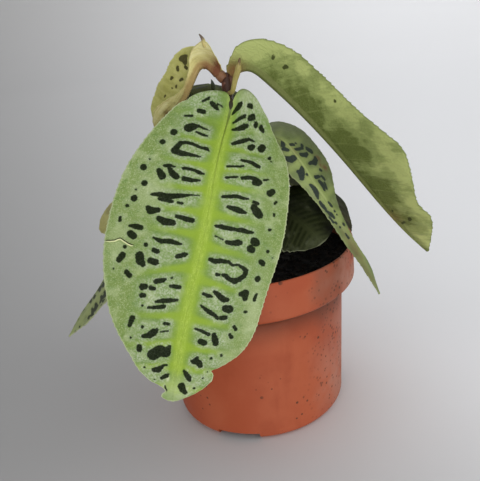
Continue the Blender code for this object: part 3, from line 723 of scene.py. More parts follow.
FRONT_FAR_MARKS: list[Chain] = [
    ((1.7, 5.3, 0.7), (3.5, 4.3, 1.0), (4.3, 3.8, 0.7)), ((7.8, 4, 0.6), (9.2, 3.8, 0.7)),
    ((2.5, 9.2, 0.3), (4.5, 7.8, 0.6), (7, 6.9, 0.4)), ((9, 7.1, 0.7), (10.8, 6.5, 0.7)),
    ((12.4, 8.2, 0.9),), ((15, 8.3, 0.9), (16.2, 8.9, 0.6)),
    ((3, 12, 0.4), (5.5, 11, 0.8), (7.5, 9.9, 1.0), (8.8, 9.3, 0.6)), ((4.7, 18.8, 0.7), (7, 17, 1.0),
     (9.5, 15.2, 0.9), (11, 14.2, 0.6), (13.3, 14.3, 0.35)), ((12.5, 18, 1.4), (13.2, 17, 1.1)),
    ((17, 17, 1.5), (17.6, 15.6, 1.4)), ((21.5, 20.4, 0.7), (21.8, 19.3, 0.5)), ((22.6, 21.8, 0.4),),
    ((9.8, 26.3, 0.6), (12, 26, 0.7), (14.5, 26, 1.0), (16.5, 26.8, 1.0), (17.5, 26.9, 0.9)),
    ((4.5, 31, 0.5), (7.5, 30.2, 0.4), (10, 29.5, 0.4), (11.3, 28.7, 0.3)),
    ((4.8, 36.5, 0.5), (7, 35.7, 0.5), (9.5, 34.9, 0.4)), ((11.5, 34.8, 0.7), (14, 33.8, 0.9),
     (17, 33.3, 0.9), (19, 34.5, 1.3), (18.5, 35.4, 1.1), (16.8, 35.6, 1.0)),
    ((21, 32.7, 0.5), (22.8, 31.8, 0.4)), ((24.5, 38.3, 1.5), (25.6, 37, 1.2)),
    ((27.3, 42.3, 0.5), (27.9, 41.3, 0.5)), ((4.7, 45.2, 0.5), (8, 44.3, 0.7), (11, 43.6, 0.8),
     (13, 43.8, 0.7), (15.5, 43.5, 0.35)), ((7.5, 49, 0.5), (10.5, 49.2, 1.1), (13, 49.4, 1.1),
     (15.5, 49.8, 0.4)), ((18, 44.3, 0.7), (19.8, 44.6, 0.7)),
    ((18.5, 46.8, 1.5), (20, 48.2, 1.9), (21.3, 49.3, 1.6)), ((27.7, 47.3, 0.5), (27.8, 48, 0.4)),
    ((26.8, 54.4, 0.6), (27.4, 54.2, 0.5)), ((4, 57.8, 0.4), (6.5, 57.6, 0.9), (10, 57.6, 0.8),
     (13, 57.5, 0.7), (15, 57.2, 1.0), (18, 57.3, 0.7), (20, 57.1, 0.35)),
    ((4.5, 61.8, 0.2), (8, 62.5, 0.3)), ((9.7, 63.2, 0.7), (12, 63.1, 0.9), (14.5, 62.4, 1.2),
     (15.5, 62.2, 0.8)), ((21, 60.5, 1.6), (22.2, 60.8, 1.4)), ((20, 63.6, 1.4), (21.2, 63.9, 1.1)),
    ((28, 63, 0.7),), ((30.8, 65, 0.35),), ((26, 67.6, 1.0), (27.2, 68.1, 1.0)), ((4.5, 71.3, 0.7),
     (6.5, 71.6, 1.0), (9.5, 70.9, 0.8), (12, 70.7, 0.6), (14.3, 71.6, 0.4), (16.5, 70.8, 0.3),
     (18.5, 71.7, 0.8), (20.2, 72.5, 1.0), (20.2, 74.5, 0.9), (18.5, 76.5, 1.0), (16.5, 77.8, 1.2),
     (14.5, 77.6, 0.8), (12.5, 76.5, 0.9), (10.8, 76.3, 0.5)), ((8.7, 76.6, 0.7), (9.6, 76.6, 0.5)),
    ((26.3, 74.8, 1.3),), ((20.5, 82.8, 1.0), (22.5, 82, 1.6), (22.8, 84.3, 1.2)),
    ((27.6, 81.5, 0.5), (27.2, 84.5, 0.7)), ((9.3, 83.8, 0.6), (11.5, 85, 1.1), (13.5, 86.3, 1.2),
     (15.2, 86.2, 0.9)), ((5, 85.5, 0.6), (7.5, 85.9, 0.8), (8.7, 86, 0.4)),
    ((24, 90.5, 0.6), (24.8, 90.4, 0.4)), ((15.3, 90, 1.5), (17, 90.2, 1.7)), ((5, 90.3, 0.3),
     (7.5, 91.8, 0.7), (9.5, 92.8, 0.9), (11.5, 93.7, 0.7), (13, 95, 0.6)),
    ((14.7, 94.4, 1.1), (16, 94.2, 1.0)), ((20.8, 98, 0.7), (21.8, 99.2, 0.7)),
    ((19.5, 101.8, 0.6), (20.5, 103, 0.8)), ((4.5, 100.3, 0.3), (8, 101.3, 0.6), (10.5, 102.3, 0.7)),
    ((12.7, 102.3, 0.9), (13.6, 104.5, 1.3), (14.3, 106.3, 1.2)), ((7.6, 105.7, 1.1), (9.3, 106.3, 1.3)),
    ((7.5, 113.3, 0.7), (6.5, 115, 1.2), (8.5, 115.5, 1.3), (9.5, 117.3, 0.9)),
    ((5.3, 114.8, 0.5), (6.5, 115, 0.9)), ((13.5, 113.5, 0.6),), ((17.8, 112, 0.5), (18, 112.5, 0.5)),
    ((2.8, 119.5, 0.4), (4, 121, 0.9), (5.3, 122.8, 1.1), (6, 124.2, 0.5)),
    ((2.7, 126.5, 1.4), (3.5, 128.5, 1.3), (5, 130.2, 0.7)), ((8.4, 128.2, 0.6),), ((13.2, 120.5, 0.3),),
    ((11.5, 123.3, 0.35),),
]


# Marks and veins of three more leaves, listed in the same way
RIGHT_NEAR_MARKS: list[Chain] = [
    ((12, 15.2, 0.35), (10.5, 15.4, 0.35)), ((12.4, 21.3, 0.9), (11, 21, 0.6)), ((20, 45.2, 0.6),),
    ((10.6, 110.4, 0.9), (9.5, 111.2, 0.6)), ((5.4, 111.8, 0.5), (2.5, 112.8, 0.4)),
    ((4, 104, 0.4), (3, 104.5, 0.3)),
]
RIGHT_FAR_MARKS: list[Chain] = [((8, 30, 0.6),), ((14, 52, 0.5), (13, 53, 0.4))]
YOUNG_FAR_MARKS: list[Chain] = [
    ((9.5, 13.6, 0.8), (8, 13.2, 1.1), (6.5, 14, 0.7)), ((6, 15.2, 0.6), (5, 15.4, 0.5)),
    ((9.6, 17, 0.6), (9, 17.8, 0.6)), ((6.3, 21.8, 0.5), (5.6, 20.8, 0.7)), ((11, 23, 0.8), (11, 24, 0.5)),
    ((7, 25.3, 0.4), (6.8, 26.3, 0.5)), ((8.2, 28, 0.4),), ((9.3, 34, 0.35), (9.3, 35, 0.3)),
]
LATE_FAR_VEINS = Laterals((8, 18, 27, 35.7, 42.8, 53.5, 64, 74, 84), (-3, -3, -3, -3, -3, -2, 0, 0, 0))
LATE_NEAR_VEINS = Laterals((8, 19, 29.5, 36.5, 45, 56, 66, 76, 86), (2, 2, 2, 2, 2, 1, 0, 0, 0))
LATE_FAR_MARKS: list[Chain] = [
    ((2.2, 29.4, 0.6), (4, 29.9, 0.8), (6.2, 30.1, 0.7), (8, 28.6, 0.6)),
    ((3, 32.8, 0.9), (5.2, 33.6, 1.1), (6.8, 33.3, 0.8)), ((9.2, 31.4, 1.2), (10.6, 32.6, 1.3)),
    ((3.9, 38.2, 0.6), (5.4, 38, 0.8), (7.2, 38.5, 1.3), (9.6, 37.3, 1.1), (10.4, 36, 0.6)),
    ((2.7, 44.9, 0.8), (5, 45.2, 0.7)), ((3.4, 47.4, 0.8), (3.8, 49.5, 1.2), (3.2, 51.6, 0.7)),
    ((5.8, 49, 0.5), (5, 51.5, 0.6)), ((8.6, 42.6, 0.8),), ((0.8, 62, 0.5),), ((0.7, 64, 0.4),),
    ((0.9, 69, 0.8),), ((1.6, 26.4, 0.7), (3.4, 26.9, 0.8)), ((5.4, 26.8, 0.5),),
    ((0.8, 57.5, 0.5), (1.0, 59.5, 0.6)), ((6.6, 45.5, 0.6), (6.9, 47.2, 0.7)),
]
LATE_NEAR_MARKS: list[Chain] = [
    ((0.5, 22.8, 0.9), (1.9, 24.6, 1.1)), ((2.8, 26.4, 1.0), (1.7, 28, 0.8)),
    ((4.9, 31.4, 1.3), (3.2, 33, 1.6), (1.5, 32.8, 1.4)),
    ((0.7, 38.6, 0.8), (2.7, 40.6, 1.5), (3.7, 42.6, 1.1)), ((3.6, 39.4, 0.8), (2.7, 40.6, 1.2)),
    ((0.6, 42.3, 0.6),), ((1.8, 47.2, 0.6), (1.2, 49.5, 1.1), (1.7, 51.5, 1.0), (2.7, 53.6, 0.5)),
    ((3.0, 55.6, 0.6), (3.2, 57.6, 0.9), (3.0, 59.2, 0.6)), ((4.0, 63.6, 0.5), (4.0, 65.8, 0.6)),
    ((3.2, 60.4, 0.5), (2.4, 62.5, 1.1), (2, 64.2, 0.7)), ((2.8, 66.9, 0.6),), ((2.2, 69.4, 0.5),),
    ((1.6, 73, 0.4), (1.4, 75, 0.6)),
]


@dataclass(frozen=True)
class Pattern:
    """A rule, in millimetres, for the side veins and dark marks of a leaf that has none listed."""

    pitch: float = 9.0
    sweep: float = 4.0
    seed: int = 1
    size: float = 0.9
    amount: float = 1.0
    first: float = 4.0

    BAR_START = 2.6
    BAR_END = 0.62
    BAR_SHARES = (0.3, 0.7)
    SPOTS = 2

    def veins(self, length: float) -> Laterals:
        """Side veins at an even pitch along a blade of that length."""
        starts = np.arange(self.first, length, self.pitch)
        return Laterals(tuple(starts), tuple(np.full(len(starts), self.sweep)))

    def marks(self, form: LeafForm, length: float, half: int) -> list[Chain]:
        """Two rows of short bars in each cell, some ending in a blob, and dots towards the margin.

        Args:
            form: the leaf's form.
            length: the blade's length.
            half: 0 for the left half, 1 for the right.

        Returns:
            The marks.
        """
        rng = np.random.default_rng(10 * self.seed + half)
        veins = self.veins(length)
        side = np.array([half - 0.5])
        marks = []
        for cell in range(len(veins.starts) - 1):
            middle = float(veins.starts[cell] + self.pitch / 2)
            wide = float(form.widths(np.array([middle / length]), side)[0])
            end = self.BAR_END * wide
            for share in self.BAR_SHARES:
                start = self.BAR_START
                while start < end - 1.5:
                    finish = min(start + rng.uniform(2.5, 6.5), end)
                    thick = self.size * rng.uniform(0.7, 1.15)
                    swell = thick * (1.7 if finish > end - 2 and rng.random() < 0.6 else 1.0)
                    if rng.random() < self.amount:
                        bend = share + rng.uniform(-0.05, 0.05)
                        marks.append((
                            (start, veins.beside(cell, share, start), thick * 0.6),
                            ((start + finish) / 2, veins.beside(cell, bend, start), thick),
                            (finish, veins.beside(cell, share, finish), swell),
                        ))
                    start = finish + thick + swell + rng.uniform(0.2, 1.2)
            for _ in range(self.SPOTS):
                out = wide * rng.uniform(0.7, 0.88)
                along = veins.beside(cell, rng.uniform(0.1, 0.9), out)
                if rng.random() < self.amount:
                    marks.append(((out, along, self.size * rng.uniform(0.35, 1.1)),))
        return marks


# Shade patches are painted shade, mostly where a blade lies in shadow; pale patches are partly the leaf's own
# pale specks and lines, partly painted light; warm patches are the leaf's own red-brown.
@dataclass(frozen=True)
class TonesAndPaintedLight:
    """Soft patches listed for a blade: (across, along, half size across, half size along, amount)."""

    shade: Points = ()
    warm: Points = ()
    pale: Points = ()

    def at(self, across: Array, along: Array) -> Array:
        """How much of each kind of patch lies on every point, as a grid of vectors; the right is positive
        across.
        """
        layers = []
        for patches in (self.shade, self.warm, self.pale):
            amount = np.zeros_like(across)
            for centre, middle, wide, long, strength in patches:
                fall = np.exp(-(((across - centre) / wide) ** 2) - ((along - middle) / long) ** 2)
                amount = np.maximum(amount, strength * fall)
            layers.append(amount)
        return np.stack(layers, axis=-1)


@dataclass(frozen=True)
class BladeFinish:
    """A leaf's upper side: grainy green, bright bands along the veins, frost round the dark marks."""

    ground: Colour
    margin: Colour
    band: Colour
    rib: Colour
    haze: Colour
    mark: Colour
    rim: Colour
    shade: Colour
    warm: Colour
    groove: Colour
    haze_amount: float = 0.75
    band_amount: float = 0.9
    mark_amount: float = 1.0
    grain_amount: float = 0.45
    rim_amount: float = 0.7
    groove_amount: float = 0.6
    rib_half: float = 4.6
    frost_reach: float = 2.6
    roughness: float = 0.6
    haze_end: float = 21.0
    halo_amount: float = 0.4
    shine: float = 0.1

    def material(self, name: str) -> bpy.types.Material:
        """The upper side's material, from the blade's own attributes place, vein, tone and mark."""
        shader = Shader(name)
        place = shader.attribute("place")
        across, _, share = shader.parts(place)
        band, cell, edge = shader.parts(shader.attribute("vein"))
        shade, warm, pale = shader.parts(shader.attribute("tone_and_painted_light"))
        mark = shader.number("mark")
        out = across.size()
        clouds = shader.noise(place, 0.16, 3)
        blots = shader.noise(place, 0.42, 3)
        grain = shader.noise(place, 1.1, 2)
        frost = shader.noise(place, 1.9, 3)
        dusting = shader.noise(place, 1.25, 3)
        beads = shader.cells(place, 1.5)
        fibre = shader.noise(shader.stretch(place, (0.45, 2.2, 1)), 1.0, 2)

        outer = (out + (clouds - 0.5) * 9).step(self.haze_end - 6, self.haze_end + 5)
        colour = shader.blend(outer, self.ground, self.margin)
        colour = shader.blend(blots.step(0.5, 0.72) * 0.5, colour, self.shade)
        colour = shader.blend(clouds.step(0.5, 0.7) * 0.3, colour, self.rim)
        speckle = frost.step(0.45, 0.66) * (0.4 + 0.6 * beads.step(0.5, 0.15))
        colour = shader.blend(speckle * self.grain_amount * (0.35 + 0.65 * outer), colour, self.rim)

        glow = band.step(0.05, 0.95) * out.step(self.haze_end + 6, self.haze_end * 0.25)
        glow = glow * (0.3 + 0.7 * share.step(0.05, 0.22))
        colour = shader.blend(glow * self.band_amount * (0.65 + 0.5 * blots), colour, self.band)
        soft_rib = (out + (grain - 0.5) * 1.5).step(self.rib_half + 1.6, 0.9) * share.step(0.99, 0.8)
        soft_rib = soft_rib * (0.25 + 0.75 * share.step(0.0, 0.12)) * (0.7 + 0.5 * blots)
        colour = shader.blend(soft_rib * self.band_amount, colour, self.band)

        inner = out.step(self.haze_end + 3, self.haze_end - 5)
        near_mark = mark.step(self.frost_reach, -0.2) * (0.4 + 0.6 * inner)
        in_cell = cell.step(0.35, 0.95) * out.step(3.5, 7.5) * inner
        powder = near_mark.most(in_cell * 0.7) * out.step(2.4, 5.0)
        powder = powder * (0.25 + 0.75 * dusting.step(0.42, 0.58)) * (0.5 + 0.5 * blots.step(0.32, 0.58))
        colour = shader.blend(powder * self.haze_amount, colour, self.haze)
        halo = mark.step(1.5, 0.1) * (0.35 + 0.65 * fibre.step(0.42, 0.62))
        colour = shader.blend(halo * self.halo_amount, colour, self.shade)

        threads = shader.noise(shader.stretch(place, (3.0, 0.35, 1)), 1.0, 2)
        ridge = out.step(self.rib_half * 0.62, self.rib_half * 0.2) * share.step(1.0, 0.85)
        ridge = ridge * (0.15 + 0.45 * beads.step(0.5, 0.1) + 0.5 * threads.step(0.42, 0.7))
        colour = shader.blend(ridge * self.band_amount, colour, self.rib)
        brown = share.step(0.42, 0.05)
        width = 0.3 + 0.45 * share.step(0.12, 0.0)
        groove = (out / width).step(1.4, 0.4) * (0.1 + 0.9 * brown)
        colour = shader.blend(groove * self.groove_amount, colour, self.groove)

        # Painted shade from the shade patches, the leaf's own warm colour, and pale patches that are partly
        # painted light.
        colour = shader.blend(shade * (0.7 + 0.6 * (blots - 0.5)), colour, self.shade)
        colour = shader.blend(warm * (0.8 + 0.8 * (grain - 0.5)), colour, self.warm)
        colour = shader.blend(pale * (0.8 + 0.8 * (grain - 0.5)), colour, self.rim)
        ragged = mark + (fibre - 0.5) * 0.7 + (grain - 0.5) * 0.5
        ink = ragged.step(0.36, -0.06)
        colour = shader.blend(ink * self.mark_amount * (0.97 + 0.2 * (frost - 0.5)), colour, self.mark)
        colour = shader.blend(edge.step(0.85, 0.2) * (1 - shade) * self.rim_amount, colour, self.rim)

        height = 0.45 * beads + 0.35 * grain + 0.3 * fibre
        return shader.surface(
            Base_Color=colour, Roughness=self.roughness - ink * 0.08 + (grain - 0.5) * 0.12,
            Normal=shader.bump(height, 0.00035, 0.5), Specular_IOR_Level=self.shine,
        )


@dataclass(frozen=True)
class UndersideFinish:
    """A leaf's underside: matt, darker along the keel as painted shade and lighter towards the margin as
    painted light, with streaks along the side veins and a fine net.
    """

    ground: Colour
    light: Colour
    dark: Colour
    rib: Colour
    mark: Colour
    warm: Colour
    mark_amount: float = 0.3
    vein_amount: float = 0.35
    roughness: float = 0.6
    sweep: float = 0.35
    contrast: float = 1.0
    start: float = 0.4
    rise: float = 0.3
    streak_share: float = 1.0
    streak: tuple[float, float] = (0.06, 0.3)
    hair: tuple[float, float] = (0.3, 0.9)

    def material(self, name: str) -> bpy.types.Material:
        """The underside's material, from the blade's own attributes place, vein, tone and mark."""
        shader = Shader(name)
        place = shader.attribute("place")
        across, along, share = shader.parts(place)
        band, _, edge = shader.parts(shader.attribute("vein"))
        shade, warm, pale = shader.parts(shader.attribute("tone_and_painted_light"))
        mark = shader.number("mark")
        out = across.size()
        reach = out / (out + edge + 0.01)
        swept = along - self.sweep * out
        clouds = shader.noise(place, 0.11, 4, 0.6)
        streaks = shader.noise(shader.vector(out * self.streak[0], swept * self.streak[1]), 1.0, 3, 0.3)
        fine = shader.noise(shader.vector(out * self.hair[0], swept * self.hair[1], share), 1.0, 3)
        grain = shader.noise(place, 1.6, 2)
        net = shader.cells(place, 0.55, "DISTANCE_TO_EDGE")

        drift = (clouds - 0.5) * 1.7 + ((streaks - 0.5) * 0.8 + (fine - 0.5) * 0.6) * self.streak_share
        # Painted shade along the keel and painted light towards the margin, over the leaf's own clouds and
        # streaks; shade patches add painted shade and pale patches partly painted light.
        level = self.start + reach * self.rise + drift * self.contrast
        level = level - shade * 0.7 + pale * 0.7
        colour = shader.blend(level.step(0.05, 0.5), self.dark, self.ground)
        colour = shader.blend(level.step(0.5, 0.95), colour, self.light)
        colour = shader.blend((grain - 0.4) * 0.5, colour, self.light)
        colour = shader.blend(net.step(0.10, 0.02) * self.vein_amount * 0.5, colour, self.light)
        colour = shader.blend(band.step(0.35, 0.8) * self.vein_amount * 0.3, colour, self.dark)
        colour = shader.blend(band.step(0.88, 0.98) * self.vein_amount, colour, self.light)
        colour = shader.blend(out.step(2.8, 1.2) * share.step(1.0, 0.8) * 0.85, colour, self.rib)
        colour = shader.blend(warm * (0.85 + 0.6 * (grain - 0.5)), colour, self.warm)
        ragged = mark + (grain - 0.5) * 0.8
        colour = shader.blend(ragged.step(0.45, -0.1) * self.mark_amount, colour, self.mark)
        colour = shader.blend(edge.step(0.9, 0.25) * 0.45, colour, self.dark)
        height = 0.5 * grain + 0.5 * net.step(0.14, 0.02) + 0.6 * clouds
        return shader.surface(
            Base_Color=colour, Roughness=self.roughness + (grain - 0.5) * 0.1,
            Normal=shader.bump(height, 0.00035, 0.6), Specular_IOR_Level=0.15,
        )


@dataclass(frozen=True)
class StalkFinish:
    """A petiole or the stem: one colour at its foot turning into another at its head, with fine streaks."""

    foot: Colour
    head: Colour
    streak: Colour
    turn: tuple[float, float] = (0.3, 0.9)
    roughness: float = 0.42

    def material(self, name: str) -> bpy.types.Material:
        """The material, from the attribute run: (share along, share of a turn, millimetres along)."""
        shader = Shader(name)
        run = shader.attribute("run")
        share = shader.parts(run)[0]
        streaks = shader.noise(shader.stretch(run, (3, 26, 0.3)), 1.0, 3)
        spots = shader.noise(shader.stretch(run, (8, 9, 1.4)), 1.0, 3)
        colour = shader.blend((share + (spots - 0.5) * 0.3).step(*self.turn), self.foot, self.head)
        colour = shader.blend(streaks.step(0.5, 0.75) * 0.6, colour, self.streak)
        return shader.surface(
            Base_Color=colour, Roughness=self.roughness + (spots - 0.5) * 0.2,
            Normal=shader.bump(0.6 * streaks + 0.4 * spots, 0.0003, 0.5), Specular_IOR_Level=0.4,
        )


OLIVE_UNDERSIDE = UndersideFinish(
    ground=srgb(152, 166, 98), light=srgb(190, 204, 138), dark=srgb(108, 122, 58), rib=srgb(110, 114, 62),
    mark=srgb(58, 62, 34), warm=srgb(150, 124, 88), mark_amount=0.0, vein_amount=0.15,
)
SPOTTED_UNDERSIDE = replace(
    OLIVE_UNDERSIDE, ground=srgb(148, 160, 95), light=srgb(190, 200, 126), dark=srgb(100, 112, 54),
    rib=srgb(112, 118, 66), mark=srgb(58, 64, 30), warm=srgb(150, 106, 66), mark_amount=0.9,
    vein_amount=0.15, start=0.2, rise=0.55, contrast=0.95, streak_share=0.9,
)
# A darker copy of the underside finish: painted shade for leaves deep in shadow.
SHADED_UNDERSIDE = UndersideFinish(
    ground=srgb(78, 88, 52), light=srgb(104, 114, 68), dark=srgb(58, 58, 40), rib=srgb(108, 104, 72),
    mark=srgb(40, 40, 28), warm=srgb(110, 80, 60),
)
YOUNG_UNDERSIDE = UndersideFinish(
    ground=srgb(220, 210, 138), light=srgb(240, 232, 170), dark=srgb(160, 140, 86), rib=srgb(174, 144, 92),
    mark=srgb(96, 84, 56), warm=srgb(116, 72, 48), mark_amount=0.0, vein_amount=0.1, contrast=0.9,
    start=0.45, rise=0.25, streak_share=1.6, streak=(0.55, 0.07), hair=(1.6, 0.16),
)
FRONT_UPPER = BladeFinish(
    ground=srgb(118, 146, 72), margin=srgb(126, 148, 80), band=srgb(148, 176, 56), rib=srgb(186, 208, 94),
    haze=srgb(210, 216, 192), mark=srgb(14, 24, 2), rim=srgb(204, 214, 168), shade=srgb(92, 128, 56),
    warm=srgb(150, 128, 90), groove=srgb(70, 76, 20), grain_amount=0.6,
)
PATTERNED_UPPER = BladeFinish(
    ground=srgb(98, 118, 60), margin=srgb(100, 112, 66), band=srgb(132, 150, 78), rib=srgb(146, 156, 94),
    haze=srgb(124, 136, 104), mark=srgb(48, 56, 52), rim=srgb(136, 146, 100), shade=srgb(72, 78, 42),
    warm=srgb(120, 88, 66), groove=srgb(84, 88, 44), haze_end=13.0, haze_amount=0.4, rib_half=1.6,
)
DULL_UPPER = replace(
    PATTERNED_UPPER, ground=srgb(54, 58, 10), margin=srgb(50, 54, 10), band=srgb(72, 80, 36),
    mark=srgb(34, 38, 22), haze=srgb(72, 78, 48), rim=srgb(74, 80, 44), shade=srgb(40, 46, 18),
    haze_amount=0.1, shine=0.06,
)
AGED_UPPER = replace(
    PATTERNED_UPPER, ground=srgb(160, 154, 96), margin=srgb(164, 156, 100), band=srgb(168, 164, 104),
    rib=srgb(172, 164, 110), haze=srgb(176, 172, 124), shade=srgb(128, 122, 70), rim=srgb(182, 176, 128),
    mark=srgb(92, 94, 62), mark_amount=0.3,
)
LATE_UPPER = replace(
    PATTERNED_UPPER, ground=srgb(116, 130, 80), margin=srgb(118, 128, 86), band=srgb(150, 164, 100),
    rib=srgb(168, 176, 120), haze=srgb(138, 148, 118), rim=srgb(156, 164, 118), shade=srgb(98, 106, 66),
)
PALE_UPPER = replace(
    PATTERNED_UPPER, ground=srgb(132, 142, 98), margin=srgb(136, 146, 104), band=srgb(146, 156, 104),
    rib=srgb(158, 166, 120), haze=srgb(158, 166, 132), shade=srgb(98, 106, 68), rim=srgb(176, 182, 144),
    mark=srgb(56, 62, 48),
)
# A darker copy of the upper finish with a near-black shade colour: painted shade for leaves deep in shadow.
SHADED_UPPER = BladeFinish(
    ground=srgb(42, 48, 22), margin=srgb(46, 52, 26), band=srgb(70, 76, 46), rib=srgb(84, 92, 56),
    haze=srgb(62, 70, 44), mark=srgb(22, 26, 12), rim=srgb(150, 156, 124), shade=srgb(8, 10, 4),
    warm=srgb(70, 50, 36), groove=srgb(40, 44, 24), haze_end=30.0, haze_amount=0.1, rib_half=1.2,
    grain_amount=0.1, rim_amount=0.9, shine=0.06, halo_amount=0.0,
)
YOUNG_UPPER = BladeFinish(
    ground=srgb(172, 170, 96), margin=srgb(180, 178, 106), band=srgb(186, 182, 114), rib=srgb(176, 152, 100),
    haze=srgb(206, 198, 146), mark=srgb(70, 66, 36), rim=srgb(214, 212, 142), shade=srgb(150, 148, 70),
    warm=srgb(176, 140, 92), groove=srgb(140, 114, 72), haze_end=9.0, haze_amount=0.4, rib_half=1.4,
)
SPUR = StalkFinish(
    foot=srgb(204, 188, 122), head=srgb(104, 88, 74), streak=srgb(170, 150, 96), turn=(0.4, 0.75),
)
DARK_POINT = StalkFinish(
    foot=srgb(54, 62, 30), head=srgb(84, 92, 84), streak=srgb(40, 48, 26), turn=(0.3, 0.8), roughness=0.6,
)
GREEN_STALK = StalkFinish(
    foot=srgb(104, 66, 52), head=srgb(128, 124, 78), streak=srgb(146, 136, 92),
)
RED_STALK = StalkFinish(
    foot=srgb(92, 50, 38), head=srgb(132, 92, 62), streak=srgb(140, 92, 62), turn=(0.05, 0.6),
)
# Colours darkened as painted shade of the groove between the lobes, where the petiole lies sunk.
SHADED_SUNK_STALK = StalkFinish(
    foot=srgb(50, 34, 22), head=srgb(44, 42, 16), streak=srgb(60, 50, 26), turn=(0.3, 0.7), roughness=0.6,
)


class Side(Enum):
    """The half of a blade that lies at a negative or a positive side number."""

    LEFT = 0
    RIGHT = 1


@dataclass(frozen=True)
class Leaf:
    """One leaf: a closed blade with teeth, sunken side veins and a raised midrib beneath, and its stalk."""

    node: str
    slot: str
    form: LeafForm
    upper: BladeFinish
    under: UndersideFinish
    stalk: StalkFinish
    pattern: Pattern = Pattern()
    placed_veins: tuple[Laterals, Laterals] | None = None
    placed_marks: tuple[list[Chain], list[Chain]] | None = None
    tones_and_painted_light: TonesAndPaintedLight = TonesAndPaintedLight()
    # Where the drawn midrib lies beside the fold: (share of the length, millimetres to the right)
    shift: Points = ((0, 0), (1, 0))
    stalk_reach: float = 0.09
    stalk_dip: float = 0.25
    foot_lean: tuple[float, float, float] = (0.0, 0.0, 0.0)
    tooth_pitch: float = 3.2
    tooth_depth: float = 0.55
    quilt: float = 0.5
    row_step: float = 0.85
    columns: int = 75
    point: Points = ()
    point_finish: StalkFinish = GREEN_STALK
    thread: Points = ()

    # Each strand of a fibre: name, height over the blade, how far down it lies, radius, colour
    THREADS = (("edge", 0.4, 0.4, 0.3, srgb(222, 226, 170)), ("line", 0.5, 0.0, 0.18, srgb(46, 50, 20)))
    THREAD_RINGS = 70
    THREAD_SIDES = 8
    THREAD_TIP = 0.03
    THREAD_FACE = (0.0, -1.0, 0.3)
    POINT_RINGS = 24
    POINT_FACE = (0.0, -1.0, 0.0)
    MEAN_CUT = 0.25
    TOOTH_POWER = 1.6
    # How the teeth's spacing drifts: (share of a tooth, radians a millimetre, phase)
    TOOTH_DRIFTS = ((0.35, 0.37, 0.0), (0.2, 0.91, 1.3))
    THICKNESS = 0.55
    EDGE_THICKNESS = 0.3
    EDGE_TAPER = 3.0
    COLUMN_EASE = 0.3
    # Furrows: how they fade in from the margin and the midrib, and how far a cell rises out of them
    QUILT_EDGE = (0.3, 6.0)
    QUILT_RIB = (0.8, 4.5)
    CELL_RISE = 0.8
    ROUGH_SHARE = 0.25
    ROUGH_EDGE = (0.3, 4.0)
    ROUGH_SCALE = 0.35
    ROUGH_PLACE = 40
    GROOVE_DEPTH = 0.35
    GROOVE_HALF = 0.55
    GROOVE_FADE = (0.95, 0.6)
    CROWN_HEIGHT = 0.25
    CROWN_SPREAD = 1.1
    RIB_TIP_RADIUS = 0.45
    RIB_END = 0.93
    RIB_DEPTH = 1.45
    RIB_SPREAD = 1.35
    RIB_POWER = 1.2
    RIB_FADE = (1.0, 0.9)
    SUNK = 0.45
    STALK_SIDES = 28
    STALK_STEP = 0.7
    STALK_TAPER = 0.35
    RUN_IN_LEAD = 2.0
    LEAN_EASE = 5.0
    CHANNEL_DEPTH = 0.12
    CHANNEL_HALF = 0.45

    def teeth(self, along: Array) -> Array:
        """How many millimetres the margin is cut in: least at a tooth's point, most just past it."""
        turn = along / self.tooth_pitch
        for share, rate, phase in self.TOOTH_DRIFTS:
            turn = turn + share * np.sin(along * rate + phase)
        cut = 1 - (turn % 1.0) ** self.TOOTH_POWER
        mean = self.TOOTH_POWER / (self.TOOTH_POWER + 1)
        return self.MEAN_CUT + self.tooth_depth * (cut - mean)

    def rib_radius(self, share: Array) -> Array:
        """The midrib's radius in millimetres, tapering from the stalk's to a fine end."""
        taper = np.clip(share / self.RIB_END, 0, 1)
        return self.form.petiole_radius + (self.RIB_TIP_RADIUS - self.form.petiole_radius) * taper

    def veins_of(self, half: int, length: float) -> Laterals:
        """The side veins of a half."""
        return self.placed_veins[half] if self.placed_veins else self.pattern.veins(length)

    def marks_of(self, half: int, length: float) -> list[Chain]:
        """The dark marks of a half."""
        return self.placed_marks[half] if self.placed_marks else self.pattern.marks(self.form, length, half)

    def relief(
        self, share: Array, keel: Array, across: Array, along: Array, edge: Array, cell: Array,
    ) -> tuple[Array, Array]:
        """Height of the upper face over the middle surface, and depth of the lower one under it.

        The side veins lie in furrows of the upper face that stand out below, shallow inside each cell. The
        upper face has a low crown over the midrib with a fine groove in it, the lower one a rounded ridge.

        Args:
            share: share of the blade's length.
            keel: distance from the fold.
            across: distance from the midrib, positive on the right.
            along: distance from the blade's base.
            edge: distance from the margin.
            cell: how deep in its cell between two veins each point is.

        Returns:
            Both as grids, in millimetres.
        """
        out = np.abs(across)
        lattice = Lattice(self.pattern.seed)
        scale = self.ROUGH_SCALE
        rough = 0.5 + 0.5 * lattice.at(across * scale + self.ROUGH_PLACE, along * scale)
        room = soft_step(edge, *self.QUILT_EDGE) * soft_step(out, *self.QUILT_RIB)
        furrow = self.quilt * room * (1 - self.CELL_RISE * cell)
        furrow = furrow + self.ROUGH_SHARE * self.quilt * rough * soft_step(edge, *self.ROUGH_EDGE)
        radius = self.rib_radius(share)
        groove = self.GROOVE_DEPTH * np.exp(-((out / self.GROOVE_HALF) ** 2))
        groove = groove * soft_step(share, *self.GROOVE_FADE)
        crown = self.CROWN_HEIGHT * np.exp(-((out / (self.CROWN_SPREAD * radius)) ** 2))
        taper = soft_step(edge, 0, self.EDGE_TAPER)
        thickness = self.EDGE_THICKNESS + (self.THICKNESS - self.EDGE_THICKNESS) * taper
        bump = np.cos(np.pi / 2 * np.clip(keel / (self.RIB_SPREAD * radius), 0, 1)) ** self.RIB_POWER
        ridge = (self.RIB_DEPTH * radius - thickness / 2) * bump * soft_step(share, *self.RIB_FADE)
        return thickness / 2 - furrow - groove + crown, thickness / 2 + furrow * (1 - bump) + ridge

